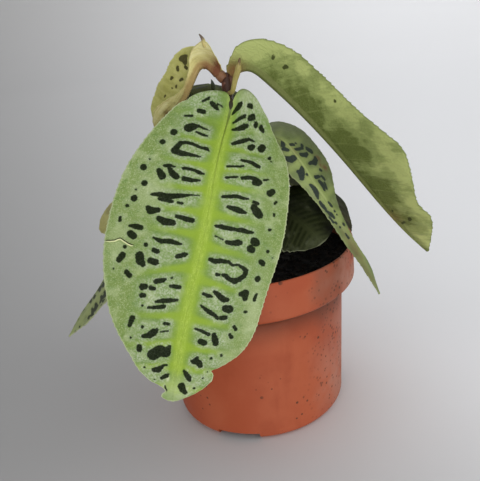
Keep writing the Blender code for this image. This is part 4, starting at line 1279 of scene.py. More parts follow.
    def build(self) -> bpy.types.Object:
        """Makes the blade and its stalk in place of the part's leaf.

        Both faces are the same grid of points, moved along the middle surface's normals by the relief.

        Returns:
            The blade.
        """
        rib = Midrib(self.form.path, self.form.petiole)
        rows = round(rib.blade / self.row_step)
        step = np.linspace(-1, 1, self.columns)
        side = step * (1 - self.COLUMN_EASE + self.COLUMN_EASE * step**2)
        share, side = np.meshgrid(np.linspace(0, 1, rows + 1), side, indexing="ij")
        along = share * rib.blade
        middle = self.form.middle(rib, share, side, self.teeth(along))
        width = self.form.widths(share, side)
        edge = np.minimum(width * (1 - np.abs(side)), rib.blade * (1 - share))
        across = side * width - np.interp(share, *np.array(self.shift).T)
        out = np.abs(across)

        band, cell, mark = np.zeros_like(out), np.zeros_like(out), np.zeros_like(out)
        for half in Side:
            here = (across > 0) if half is Side.RIGHT else (across <= 0)
            veins = self.veins_of(half.value, rib.blade)
            band[here], cell[here] = veins.bands(out[here], along[here])
            mark[here] = signed_distance(out[here], along[here], self.marks_of(half.value, rib.blade))

        normal = unit(np.cross(np.gradient(middle, axis=1), np.gradient(middle, axis=0)))
        face = three_stage(self.form.face, share)
        normal *= np.sign(np.sum(normal * face, axis=-1, keepdims=True).mean())
        rise, fall = self.relief(share, np.abs(side) * width, across, along, edge, cell)
        upper = middle + normal * rise[..., None]
        lower = middle - normal * fall[..., None]

        points = np.concatenate([upper.reshape(-1, 3), lower.reshape(-1, 3)]) * MM
        faces, slots = sheet_faces(*share.shape)
        attributes = {
            "place": np.tile(vectors(across, along, share).reshape(-1, 3), (2, 1)),
            "vein": np.tile(vectors(band, cell, edge).reshape(-1, 3), (2, 1)),
            "tone_and_painted_light": np.tile(self.tones_and_painted_light.at(across, along).reshape(-1, 3), (2, 1)),
            "mark": np.tile(mark.ravel(), 2),
        }
        materials = [self.upper.material(f"{self.node}_upper"), self.under.material(f"{self.node}_under")]
        blade = add_piece(self.node + "_blade", points, faces.tolist(), materials, slots, attributes)
        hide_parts(self.node)
        self.build_stalk(rib)
        if self.point:
            self.build_point()
        if self.thread:
            self.build_threads(rib)
        return blade

    def build_threads(self, rib: Midrib) -> None:
        """A fine dark fibre with a pale edge that lies on the blade, through the thread's points.

        Args:
            rib: the leaf's midrib.
        """
        across, along = np.array(self.thread, float).T
        where = np.linspace(0, len(across) - 1, self.THREAD_RINGS)
        across, along = (np.interp(where, np.arange(len(values)), values) for values in (across, along))
        ends = soft_step(where, 0, 1) * soft_step(where, where[-1], where[-1] - 1)
        face = np.tile(self.THREAD_FACE, (self.THREAD_RINGS, 1))
        for name, lift, drop, radius, colour in self.THREADS:
            share = (along + drop) / rib.blade
            side = across / self.form.widths(share, across)
            line = self.form.middle(rib, share, side, np.zeros_like(side))
            line = line + lift * unit(three_stage(self.form.face, share))
            points, faces = swept_tube(line, radius * ends + self.THREAD_TIP, face, self.THREAD_SIDES)
            shader = Shader(f"{self.node}_thread_{name}")
            skin = shader.surface(Base_Color=colour, Roughness=0.7, Specular_IOR_Level=0.1)
            add_piece(f"{self.node}_thread_{name}", points * MM, faces, [skin])

    def build_point(self) -> bpy.types.Object:
        """A withered point on the blade: a tapering tube through the leaf's own point line."""
        line = np.array(self.point, float)
        fine = natural_spline(np.arange(len(line)), line, np.linspace(0, len(line) - 1, self.POINT_RINGS))
        face = np.tile(self.POINT_FACE, (self.POINT_RINGS, 1))
        points, faces = swept_tube(fine[:, :3], fine[:, 3], face, self.STALK_SIDES)
        share = np.linspace(0, 1, self.POINT_RINGS)
        run = run_along(share, np.arange(self.STALK_SIDES) / self.STALK_SIDES, share)
        skin = self.point_finish.material(self.node + "_point")
        point = add_piece(self.node + "_point", points * MM, faces, [skin], None, {"run": run})
        return point

    def build_stalk(self, rib: Midrib) -> bpy.types.Object:
        """The petiole: a round tube from inside the stem, running out within the midrib's ridge.

        Args:
            rib: the leaf's midrib.

        Returns:
            The stalk.
        """
        end = rib.start + rib.blade * self.stalk_reach
        distance = np.linspace(0, end, max(round(end / self.STALK_STEP), 12))
        share = np.clip((distance - rib.start) / rib.blade, 0, 1)
        line = rib.on_line(distance)
        tangent = unit(np.gradient(line, axis=0))
        face = three_stage(self.form.face, share)
        normal = square_to(tangent, face)
        run_in = soft_step(distance, rib.start - self.RUN_IN_LEAD, end)
        near = soft_step(distance, 0, self.LEAN_EASE)
        near = near * (1 - soft_step(distance, rib.start, rib.start + self.LEAN_EASE))
        lean = np.array(self.foot_lean) * near[:, None]
        radius = self.rib_radius(share) * (1 - self.STALK_TAPER * run_in)
        sunk = self.SUNK * radius * np.minimum(1, distance / rib.start) + self.stalk_dip * run_in
        radius = radius + np.linalg.norm(lean, axis=1)
        middle = line - normal * sunk[:, None] + lean
        turn = full_turn(self.STALK_SIDES)
        channel = np.minimum(turn, 2 * np.pi - turn) / self.CHANNEL_HALF
        section = 1 - self.CHANNEL_DEPTH * np.exp(-(channel**2))
        points, faces = swept_tube(middle, radius, face, self.STALK_SIDES, section)
        run = run_along(distance / end, turn / (2 * np.pi), distance)
        skin = self.stalk.material(self.node + "_stalk")
        stalk = add_piece(self.node + "_stalk", points * MM, faces, [skin], None, {"run": run})
        return stalk


LEAVES = (
    Leaf(
        "leaf_front", "leaf_patterned",
        LeafForm(
            ((-0.8, 0, 156.5), (-0.3, -4.5, 157.4), (0.1, -8, 156.4), (-0.4, -11, 153.8),
             (-2.6, -17, 148.6), (-5.9, -27, 142), (-12, -44, 125.5), (-17, -54, 110.5),
             (-23.5, -62, 93), (-30.5, -67, 71.5), (-37.4, -69, 46.3)),
            12.0, (35.5, 38), ((0.2, -0.75, 0.6), (0.2, -0.93, 0.36), (0.2, -0.95, 0.25)),
            fold=((4, 2, 0), (4, 0, 0)), curl=((-10, -20, -20), (-8, -16, -10)),
            outline=(FRONT_RIGHT, FRONT_LEFT), lobe=(13, 8.4), wave=0.5, sinus=(0.13, 0.06),
        ),
        FRONT_UPPER, OLIVE_UNDERSIDE, SHADED_SUNK_STALK, stalk_reach=0.04, stalk_dip=1.5,
        placed_veins=(FRONT_FAR_VEINS, FRONT_NEAR_VEINS),
        placed_marks=(FRONT_FAR_MARKS, FRONT_NEAR_MARKS),
        tones_and_painted_light=TonesAndPaintedLight(
            shade=((5, 3, 5, 2.5, 0.35), (-26, 62, 2.5, 12, 0.3), (33, 90, 3, 10, 0.2)),
            pale=(
                (-8, 0, 9, 4, 0.45), (-28, 92, 4, 14, 0.5), (24, 49, 6, 7, 0.4), (-1, 129, 7, 6, 0.5),
                (3.2, 123.5, 0.7, 1.6, 1.3), (-22, 116, 4, 8, 0.4), (33, 72, 4, 8, 0.35),
                (-20, 42, 2, 10, 0.25),
            ),
        ),
        tooth_pitch=2.3, tooth_depth=0.4, row_step=0.6, columns=151,
        thread=(
            (37.9, 73.2), (35.8, 72.8), (33.9, 72.2), (32.6, 71.2), (31.8, 70.9), (30.4, 71.5), (28.6, 72.2),
            (27.3, 72.5), (26.0, 72.4),
        ),
    ),
    Leaf(
        "leaf_right", "leaf_underside",
        LeafForm(
            ((0.2, 0.8, 162), (1.1, 0.7, 165.6), (4.2, -0.4, 169.2), (9.5, -2, 170.2), (17.5, -3, 164.4),
             (31, -4, 149.2), (52.5, -6, 121), (75, -8, 89.5), (88, -8, 74)),
            5.5, (26, 28), ((0.1, 0, 0.95), (0.65, -0.1, 0.75), (0.75, 0, 0.65)),
            fold=((60, 30, 20), (60, 40, 34)), curl=((0, 0, 0), (0, 0, 0)), outline=(BROAD, RIGHT_NEAR),
            wave=0.8, petiole_radius=1.6,
        ),
        PATTERNED_UPPER, SPOTTED_UNDERSIDE, GREEN_STALK, Pattern(pitch=9.5, sweep=7, seed=3),
        placed_marks=(RIGHT_FAR_MARKS, RIGHT_NEAR_MARKS),
        # Shade patches are painted shade over the lower part by the keel; pale patches are partly painted
        # light at the base and along the upper margin.
        tones_and_painted_light=TonesAndPaintedLight(
            shade=(
                (0, 42, 9, 12, 0.9), (8, 40, 5, 7, 0.6), (5, 66, 12, 12, 0.75), (12, 70, 8, 6, 0.5),
                (5, 92, 10, 9, 0.8), (12, 92, 5, 8, 0.5), (6, 108, 8, 6, 0.5), (-3, 60, 8, 50, 0.5),
                (12, 30, 4, 7, 0.9), (-3, 9, 3, 5, 0.7),
            ),
            warm=((0, 2, 6, 5, 0.95), (-5, 5, 3, 2.5, 0.6), (2, 108, 5, 4, 0.3)),
            pale=(
                (9, 10, 9, 6, 1.0), (11, 25, 3, 4, 0.4), (17, 32, 5, 12, 0.4), (20, 52, 6, 9, 0.5),
                (28, 83, 7, 9, 0.8), (12, 80, 7, 3, 0.5), (20, 100, 5, 9, 0.4), (6, 122, 5, 6, 0.5),
            ),
        ),
        tooth_pitch=2.6, tooth_depth=0.7, row_step=0.6, columns=101,
    ),
    Leaf(
        "leaf_left", "leaf_young",
        LeafForm(
            ((-1.6, 0.6, 161.5), (-2.0, 0.7, 165.4), (-3.9, 1.2, 168.6), (-6.3, 2, 171.4), (-9.1, 3, 172.9),
             (-11.9, 4, 172.3), (-14.1, 4.7, 169.8), (-16.5, 5.6, 165.2), (-21, 6.6, 158.2),
             (-28.8, 8, 150.2), (-36.5, 10, 143)),
            7, (10, 16), ((-0.3, 0, 0.95), (-0.65, -0.1, 0.75), (-0.6, 0, 0.8)),
            fold=((70, 70, 60), (65, 60, 45)), curl=((0, 0, 0), (0, 0, 0)), outline=(YOUNG_NEAR, YOUNG_FAR),
            wave=0.8, petiole_radius=1.95,
        ),
        YOUNG_UPPER, YOUNG_UNDERSIDE, RED_STALK, Pattern(pitch=5.5, sweep=3, seed=5),
        placed_marks=([], YOUNG_FAR_MARKS),
        tones_and_painted_light=TonesAndPaintedLight(
            shade=((11, 30, 2.5, 10, 0.6), (-3.5, 38.5, 2, 2.5, 0.6), (7, 36, 3, 4, 0.4)),
            warm=((-4, 1.5, 8, 4.2, 1.4), (0, 6, 3.2, 3.8, 1.0), (-3.2, 38.5, 1.5, 1.8, 0.8)),
            pale=((-7, 42, 3, 4, 0.5), (-5, 8, 3, 1.5, 0.5), (5, 44, 3, 4, 0.5)),
        ),
        tooth_pitch=2.8, tooth_depth=0.4, row_step=0.5, columns=71, foot_lean=(0.55, -0.1, 0.3),
        point=(
            (-8.5, -2.9, 180.4, 0.7), (-8.7, -3.1, 182.2, 0.95), (-9.1, -3.2, 184.0, 0.75),
            (-10.3, -3.2, 186.0, 0.25),
        ),
        point_finish=SPUR,
    ),
    Leaf(
        "leaf_low_right", "leaf_patterned",
        LeafForm(
            ((0.4, 0.4, 122), (6.5, -4, 132.6), (14.9, -8, 139.8), (22.9, -12, 138.6), (27.8, -16, 133),
             (33.2, -22, 123.8), (40, -29, 109.4), (47, -36, 94.4), (55.4, -45, 73)),
            12, (19, 12), ((0.2, -0.3, 0.93), (0.45, -0.5, 0.7), (0.75, -0.2, 0.7)),
            fold=((0, 0, 15), (-5, -2, 0)), curl=((-20, -20, -30), (-20, -20, -20)),
            outline=(LATE_FAR, LATE_NEAR), wave=0.5,
        ),
        LATE_UPPER, OLIVE_UNDERSIDE, GREEN_STALK, Pattern(pitch=7.5, sweep=2, seed=7),
        placed_veins=(LATE_FAR_VEINS, LATE_NEAR_VEINS), placed_marks=(LATE_FAR_MARKS, LATE_NEAR_MARKS),
        # Shade patches are painted shade at the start of the blade and along the tail.
        tones_and_painted_light=TonesAndPaintedLight(
            shade=(
                (-8, 18, 8, 8, 0.4), (-12, 30, 3, 8, 0.3), (-6, 24, 5, 3, 0.25), (2, 20, 6, 4, 0.4),
                (3, 84, 4, 14, 0.9),
            ),
            warm=(
                (-12, 36.8, 1.4, 1.8, 1.0), (-12.4, 42, 1.8, 1.8, 1.1), (-10.6, 40.4, 1.2, 1.2, 1.0),
                (1.5, 80, 2.5, 9, 0.6), (1.5, 93, 2.5, 8, 0.4), (-2, 76, 1.5, 3, 0.4), (-1, 30, 0.6, 4, 0.4),
            ),
            pale=((3.2, 50, 0.9, 8, 0.5), (2.4, 62, 0.8, 8, 0.6), (1.2, 72, 0.8, 6, 0.5)),
        ),
        shift=((0, 0), (0.16, 2.6), (0.25, 3.3), (0.45, 3.3), (0.62, 1.6), (0.8, 0), (1, 0)),
        tooth_pitch=3.0, tooth_depth=0.5, row_step=0.7, columns=101,
    ),
    Leaf(
        "leaf_inner_right", "leaf_shaded",
        LeafForm(
            ((1.0, 0.6, 108), (9, -5, 108.5), (20, -10, 103.5), (29, -15, 96.5), (35.3, -19.5, 89)),
            7, (26, 19.5), ((0, -0.3, 0.95), (0, -0.4, 0.9), (0.2, -0.4, 0.9)), outline=(BLUNT, BLUNT),
        ),
        SHADED_UPPER, SHADED_UNDERSIDE, GREEN_STALK, Pattern(pitch=2.7, sweep=8, seed=9, amount=0.0),
        # Shade patches are painted shadow, darkening most of this leaf nearly to black where leaves above
        # shade it.
        tones_and_painted_light=TonesAndPaintedLight(
            shade=((0, 9, 26, 16, 1.3), (-15, 28, 6, 9, 1.4), (-8, 20, 5, 6, 0.8), (-10, 36, 5, 5, 1.6)),
            pale=((4, 37, 9, 3.5, 0.2),),
        ),
        tooth_pitch=2.9, tooth_depth=1.4, row_step=0.6,
    ),
    Leaf(
        "leaf_back_right", "leaf_shaded",
        LeafForm(
            ((0.8, 0.6, 112), (14, 13, 121), (30, 24, 116), (45, 32, 99), (55, 37, 80), (59, 39, 67)),
            9, (28, 19), ((0.1, 0.1, 0.95), (0.6, 0.3, 0.7), (0.8, 0.4, 0.3)),
        ),
        DULL_UPPER, SHADED_UNDERSIDE, GREEN_STALK, Pattern(pitch=8, sweep=4, seed=11),
    ),
    Leaf(
        "leaf_back_left", "leaf_patterned",
        LeafForm(
            ((0.7, 0.6, 113), (-14, 7, 122), (-34, 11, 121.5), (-56, 12, 109.5), (-73, 10, 97)),
            10, (17, 17), ((-0.1, -0.2, 0.95), (-0.35, -0.25, 0.85), (-0.5, -0.6, 0.7)),
            outline=(BLUNT, BLUNT),
        ),
        AGED_UPPER, OLIVE_UNDERSIDE, GREEN_STALK, Pattern(pitch=8, sweep=4, seed=13),
    ),
    Leaf(
        "leaf_low_left", "leaf_patterned",
        LeafForm(
            ((1.2, 0.7, 96), (-18, -6, 107), (-45, -12, 97.5), (-70, -17, 76.5), (-90.5, -20, 55)),
            12, (15, 15), ((-0.1, -0.1, 0.95), (-0.4, -0.05, 0.9), (-0.5, -0.35, 0.8)),
            curl=((-10, -10, -10), (-10, -10, -10)), outline=(BROAD, BROAD),
        ),
        PALE_UPPER, OLIVE_UNDERSIDE, GREEN_STALK, Pattern(pitch=7.5, sweep=4, seed=15),
    ),
    Leaf(
        "leaf_back", "leaf_shaded",
        LeafForm(
            ((-0.7, 0, 146), (-5, 11, 156.5), (-9, 27, 161), (-13, 48, 152), (-17, 67, 131), (-20, 80, 104)),
            9, (19, 20), ((0.1, -0.3, 0.9), (0.2, 0.5, 0.8), (0.2, 0.9, 0.4)),
            curl=((-30, -30, -20), (-30, -30, -20)),
        ),
        DULL_UPPER, SHADED_UNDERSIDE, GREEN_STALK, Pattern(pitch=8.5, sweep=4, seed=17, amount=0.5),
        point=((-7.5, 16, 160.0, 1.2), (-7.5, 16, 162.3, 0.9), (-7.9, 15, 164.6, 0.12)),
        point_finish=DARK_POINT,
    ),
)


@dataclass(frozen=True)
class Stem:
    """The upright stem: a slim tube that swells a little where each leaf joins it."""

    line: Points = (
        (2.0, 1.0, 62.0), (1.5, 0.8, 95.0), (0.0, 0.3, 130.0), (-0.8, 0.0, 150.0),
        (-0.9, 0.2, 160.0), (-0.6, 0.6, 165.0), (0.0, 0.9, 168.4),
    )
    radii: tuple[float, ...] = (2.7, 2.5, 2.3, 2.2, 2.5, 2.4, 1.0)
    joints: tuple[float, ...] = (96, 108, 112.5, 122, 146, 156.5)
    waist: float = 0.07
    joint_half: float = 1.6
    ridges: int = 5
    ridge_height: float = 0.02
    sides: int = 40
    rings: int = 220
    finish: StalkFinish = StalkFinish(
        foot=srgb(92, 74, 56), head=srgb(66, 36, 22), streak=srgb(46, 26, 16), turn=(0.25, 0.75),
    )

    def build(self) -> bpy.types.Object:
        """The stem: straight between the given radii, less a shallow waist between joints and faint ridges."""
        points = np.array(self.line)
        height = np.linspace(points[0, 2], points[-1, 2], self.rings)
        middle = np.stack([np.interp(height, points[:, 2], points[:, axis]) for axis in range(3)], axis=1)
        near = np.abs(height[:, None] - np.array(self.joints)[None]).min(1)
        swell = 1 - self.waist + self.waist * np.exp(-((near / self.joint_half) ** 2))
        radius = np.interp(height, points[:, 2], self.radii) * swell
        turn = full_turn(self.sides)
        section = 1 + self.ridge_height * (np.sin(self.ridges * turn + 1) - 1)
        face = np.tile([1.0, 0.0, 0.0], (self.rings, 1))
        tube, faces = swept_tube(middle, radius, face, self.sides, section)
        tube[:, 2] = np.clip(tube[:, 2], points[0, 2], points[-1, 2])
        rise = height - height[0]
        run = run_along(rise / rise[-1], turn / (2 * np.pi), rise)
        skin = self.finish.material("stem_skin")
        stem = add_piece("stem_fine", tube * MM, faces, [skin], None, {"run": run})
        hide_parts("stem")
        return stem


@dataclass(frozen=True)
class Bud:
    """The youngest leaf, still rolled: a spindle whose section is one turn of a spiral with a free edge."""

    line: Points = (
        (-0.8, 0.0, 160.2), (0.7, -3.0, 159.6), (1.8, -5.0, 161.2), (3.0, -6.2, 165.0),
        (4.4, -7.2, 168.5), (5.4, -7.9, 171.8), (6.0, -8.4, 174.7),
    )
    radii: tuple[float, ...] = (1.1, 1.1, 1.2, 1.4, 1.5, 0.3)
    seam_turn: float = 0.55
    seam_wind: float = 0.25
    fall: float = 0.2
    seam_step: float = 0.06
    seam_depth: float = 0.12
    seam_half: float = 0.05
    face: tuple[float, float, float] = (0.0, -1.0, 0.3)
    sides: int = 64
    rings: int = 90
    finish: StalkFinish = StalkFinish(
        foot=srgb(160, 146, 82), head=srgb(92, 66, 42), streak=srgb(196, 184, 120), turn=(0.82, 0.97),
    )

    def build(self) -> bpy.types.Object:
        """The bud: its radius falls by a share over one turn and steps back up at a seam that winds up it."""
        rib = Midrib(self.line)
        share = np.linspace(0, 1, self.rings)
        middle = rib.on_line(share * rib.total)
        radius = np.interp(share, np.linspace(0, 1, len(self.radii)), self.radii)
        turn = np.arange(self.sides) / self.sides
        place = (turn[None] - self.seam_turn - self.seam_wind * share[:, None]) % 1.0
        seam = self.seam_depth * np.exp(-((place / self.seam_half) ** 2))
        section = 1 - self.fall * place * soft_step(place, 0, self.seam_step) - seam
        points, faces = swept_tube(middle, radius, np.tile(self.face, (self.rings, 1)), self.sides, section)
        run = run_along(share, turn, share * rib.total)
        skin = self.finish.material("bud_skin")
        bud = add_piece("bud_rolled", points * MM, faces, [skin], None, {"run": run})
        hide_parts("bud")
        return bud


@dataclass(frozen=True)
class PotFinish:
    """Matt terracotta-coloured plastic: faint clouds and rubbed patches, dust on one side, specks of mix, a
    brown strip at the front right, and an inner wall darkened partly by damp and partly by painted shade.
    """

    clay: Colour = srgb(162, 76, 45)
    faded: Colour = srgb(170, 86, 54)
    deep: Colour = srgb(144, 62, 35)
    dust: Colour = srgb(170, 150, 136)
    dirt: Colour = srgb(62, 40, 26)
    strip_brown: Colour = srgb(110, 64, 44)
    damp_and_shade: Colour = srgb(58, 32, 20)
    inner_radius: float = 51.5 * MM

    def material(self) -> bpy.types.Material:
        """The pot's material, from the frame's coordinates in metres."""
        shader = Shader("pot_plastic")
        place = shader.place()
        x, y, z = shader.parts(place)
        clouds = shader.noise(place, 28, 4, 0.4)
        patches = shader.noise(place, 75, 4)
        grain = shader.noise(place, 900, 2)
        specks = shader.cells(place, 130)
        rare = shader.noise(place, 48, 2)
        dots = shader.cells(place, 420)
        colour = shader.blend(clouds.step(0.4, 0.66), self.clay, self.faded)
        colour = shader.blend(patches.step(0.5, 0.75) * 0.35, colour, self.deep)
        drift = x + (clouds - 0.5) * 0.03
        dusty = drift.step(0.022, 0.052) * y.step(0.02, -0.03)
        colour = shader.blend(dusty * patches.step(0.3, 0.6) * 0.5, colour, self.dust)
        # A darker brown vertical strip on the front right of the pot.
        front_right_strip = (x + (clouds - 0.5) * 0.02).step(0.024, 0.032)
        front_right_strip = front_right_strip * (x + (patches - 0.5) * 0.02).step(0.046, 0.038)
        colour = shader.blend(front_right_strip * y.step(0, -0.02) * z.step(0.03, 0.075) * 0.5, colour, self.strip_brown)
        dirt = specks.step(0.16, 0.10) * rare.step(0.55, 0.62)
        cluster = rare.step(0.36, 0.5) * drift.step(0.02, 0.036) * y.step(0.01, -0.02)
        fine = (dots + (patches - 0.5) * 0.5).step(0.32, 0.18) * cluster
        smears = shader.noise(shader.stretch(place, (130, 130, 24)), 1.0, 3)
        grime = smears.step(0.56, 0.74) * patches.step(0.35, 0.6)
        colour = shader.blend(grime * 0.35, colour, self.deep)
        colour = shader.blend(dirt * 0.85, colour, self.dirt)
        colour = shader.blend(fine * 0.75, colour, self.dirt)
        crumbs = (shader.cells(place, 230) + (patches - 0.5) * 0.25).step(0.16, 0.06) * rare.step(0.5, 0.6)
        colour = shader.blend(crumbs * 0.8, colour, self.dirt)
        # The inner wall above the mix is darker: partly damp dirt, partly painted shade of the leaves over it.
        radius = (x * x + y * y) ** 0.5
        inside = radius.step(self.inner_radius, self.inner_radius - 0.4 * MM) * z.step(50 * MM, 70 * MM)
        colour = shader.blend(inside * (0.6 + 0.4 * patches), colour, self.damp_and_shade)
        height = 0.6 * grain + 0.8 * patches
        return shader.surface(
            Base_Color=colour, Roughness=0.55 + (patches - 0.5) * 0.2 + dusty * 0.2,
            Normal=shader.bump(height, 0.00012, 0.45), Specular_IOR_Level=0.25,
        )


@dataclass(frozen=True)
class Pot:
    """The round nursery pot, in the part's sizes in metres: one turned shell, notched and drained below."""

    rim_radius: float = 52.5 * MM
    height: float = 86.6 * MM
    band_height: float = 23.3 * MM
    band_straight: float = 17.0 * MM
    body_radius: float = 46.2 * MM
    foot_radius: float = 43.3 * MM
    wall: float = 1.3 * MM
    floor: float = 1.6 * MM
    foot_round: float = 4.0 * MM
    inner_round: float = 2.5 * MM
    channel_inner: float = 26.0 * MM
    channel_outer: float = 37.0 * MM
    channel_rise: float = 2.5 * MM
    channel_slope: float = 1.5 * MM
    notch_count: int = 3
    notch_width: float = 21.0 * MM
    notch_height: float = 4.0 * MM
    notch_angle: float = -108.4
    drain_count: int = 6
    drain_radius: float = 3.2 * MM
    drain_sides: int = 48
    segments: int = 288
    channel_steps: int = 8
    sharp_angle: float = 40.0
    finish: PotFinish = PotFinish()

    # The section's points: heights between which they lie closer, top of those below, and numbers of both
    BAND_ZONE = (61 * MM, 71 * MM)
    INNER_BELOW = 60 * MM
    OUTER_BELOW = 59 * MM
    INNER_POINTS = (14, 16)
    OUTER_POINTS = (12, 18)
    FOOT_CLEARANCE = 2.0 * MM
    LIP_POINTS = 13
    FOOT_POINTS = 11

    def outer(self, height: Array) -> Array:
        """Outer radius: a straight taper up to the band, a cosine ease out to the rim, then upright."""
        low, high = self.height - self.band_height, self.height - self.band_straight
        taper = self.foot_radius + (self.body_radius - self.foot_radius) * height / low
        ease = 0.5 - 0.5 * np.cos(np.pi * np.clip((height - low) / (high - low), 0, 1))
        return np.minimum(taper, self.body_radius) + (self.rim_radius - self.body_radius) * ease

    def floor_line(self, level: float) -> Array:
        """Floor's section from the outside in, over the raised channel, with eased slopes."""
        top = level + self.channel_rise
        slope = self.channel_slope
        corners = np.array([
            (self.channel_outer + slope, level), (self.channel_outer - slope, top),
            (self.channel_inner + slope, top), (self.channel_inner - slope, level), (0.0, level),
        ])
        stations = np.arange(len(corners))
        fine = np.linspace(0, stations[-1], self.channel_steps * stations[-1] + 1)
        return np.stack([np.interp(fine, stations, corners[:, axis]) for axis in (0, 1)], axis=1)[:-1]

    def profile(self) -> Array:
        """The shell's section, (radius, height), up its inside, over the lip and down its outside."""
        low, high = self.BAND_ZONE
        below, close = self.INNER_POINTS
        start = self.floor + self.inner_round
        heights = np.r_[np.linspace(start, self.INNER_BELOW, below), np.linspace(low, high, close)]
        inner = vectors(self.outer(heights) - self.wall, heights)
        half = self.wall / 2
        angle = np.radians(np.linspace(180, 0, self.LIP_POINTS))
        lip = vectors(
            self.rim_radius - half + half * np.cos(angle), self.height - half + half * np.sin(angle),
        )
        below, close = self.OUTER_POINTS
        end = self.foot_round + self.FOOT_CLEARANCE
        heights = np.r_[np.linspace(high, low, close), np.linspace(self.OUTER_BELOW, end, below)]
        outer = vectors(self.outer(heights), heights)
        angle = np.radians(np.linspace(0, -90, self.FOOT_POINTS))
        level = self.foot_round * (1 + np.sin(angle))
        lean = (self.body_radius - self.foot_radius) * level / (self.height - self.band_height)
        foot = vectors(self.foot_radius - self.foot_round + self.foot_round * np.cos(angle) + lean, level)
        heel = np.array([(inner[0, 0] - self.inner_round, self.floor)])
        inside = self.floor_line(self.floor)[::-1]
        return np.concatenate([inside, heel, inner, lip, outer, foot, self.floor_line(0.0)])

    def build(self) -> bpy.types.Object:
        """The section turned about Z, with a pole on the axis at each end, less the notches and holes."""
        radius, level = self.profile()[:, :, None].transpose(1, 0, 2)
        turn = full_turn(self.segments)
        rings = vectors(radius * np.cos(turn), radius * np.sin(turn), level)
        points, faces = capped_rings(rings, [(0, 0, self.floor), (0, 0, 0)])
        pot = add_piece("pot_shell", points, faces, [self.finish.material()])
        for cutter in self.cutters():
            self.cut(pot, cutter)
        pot.data.shade_smooth()
        pot.data.set_sharp_from_angle(angle=np.radians(self.sharp_angle))
        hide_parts("pot")
        return pot

    def cutters(self) -> list[bpy.types.Object]:
        """Boxes for the notches in the foot and rods for the drain holes."""
        made = []
        for index in range(self.notch_count):
            angle = np.radians(self.notch_angle + 360 / self.notch_count * index)
            bpy.ops.mesh.primitive_cube_add(size=1)
            depth = 2 * (self.foot_radius - self.channel_outer)
            shape = Matrix.Diagonal((depth, self.notch_width, 2 * self.notch_height, 1))
            place = Matrix.Rotation(angle, 4, "Z") @ Matrix.Translation((self.foot_radius, 0, 0)) @ shape
            bpy.context.object.data.transform(place)
            made.append(bpy.context.object)
        for index in range(self.drain_count):
            angle = 2 * np.pi / self.drain_count * index
            spot = (self.channel_inner + self.channel_outer) / 2
            bpy.ops.mesh.primitive_cylinder_add(
                vertices=self.drain_sides, radius=self.drain_radius, depth=4 * self.floor,
                location=(spot * np.cos(angle), spot * np.sin(angle), self.channel_rise),
            )
            made.append(bpy.context.object)
        return made

    def cut(self, pot: bpy.types.Object, cutter: bpy.types.Object) -> None:
        """Cuts one shape out of the pot and removes it."""
        modifier = pot.modifiers.new("Cut", "BOOLEAN")
        modifier.operation = "DIFFERENCE"
        modifier.object = cutter
        depsgraph = bpy.context.evaluated_depsgraph_get()
        mesh = bpy.data.meshes.new_from_object(pot.evaluated_get(depsgraph))
        pot.modifiers.clear()
        pot.data = mesh
        bpy.data.objects.remove(cutter)


@dataclass(frozen=True)
class MixFinish:
    """Moist growing mix: near black, with browner crumbs."""

    dark: Colour = srgb(13, 11, 11)
    brown: Colour = srgb(34, 25, 19)
    fibre: Colour = srgb(70, 54, 40)

    def material(self, name: str, lift: float) -> bpy.types.Material:
        """The mix's material; lift is how much of the browner colours shows."""
        shader = Shader(name)
        place = shader.place()
        crumbs = shader.noise(place, 420, 5)
        patches = shader.noise(place, 90, 3)
        strands = shader.noise(shader.stretch(place, (900, 260, 500)), 1.0, 3, 1.5)
        colour = shader.blend(crumbs.step(0.45, 0.7) * lift, self.dark, self.brown)
        colour = shader.blend(strands.step(0.62, 0.72) * patches.step(0.4, 0.7) * lift, colour, self.fibre)
        return shader.surface(
            Base_Color=colour, Roughness=0.75 + 0.2 * patches, Normal=shader.bump(crumbs, 0.0008, 0.9),
            Specular_IOR_Level=0.15,
        )


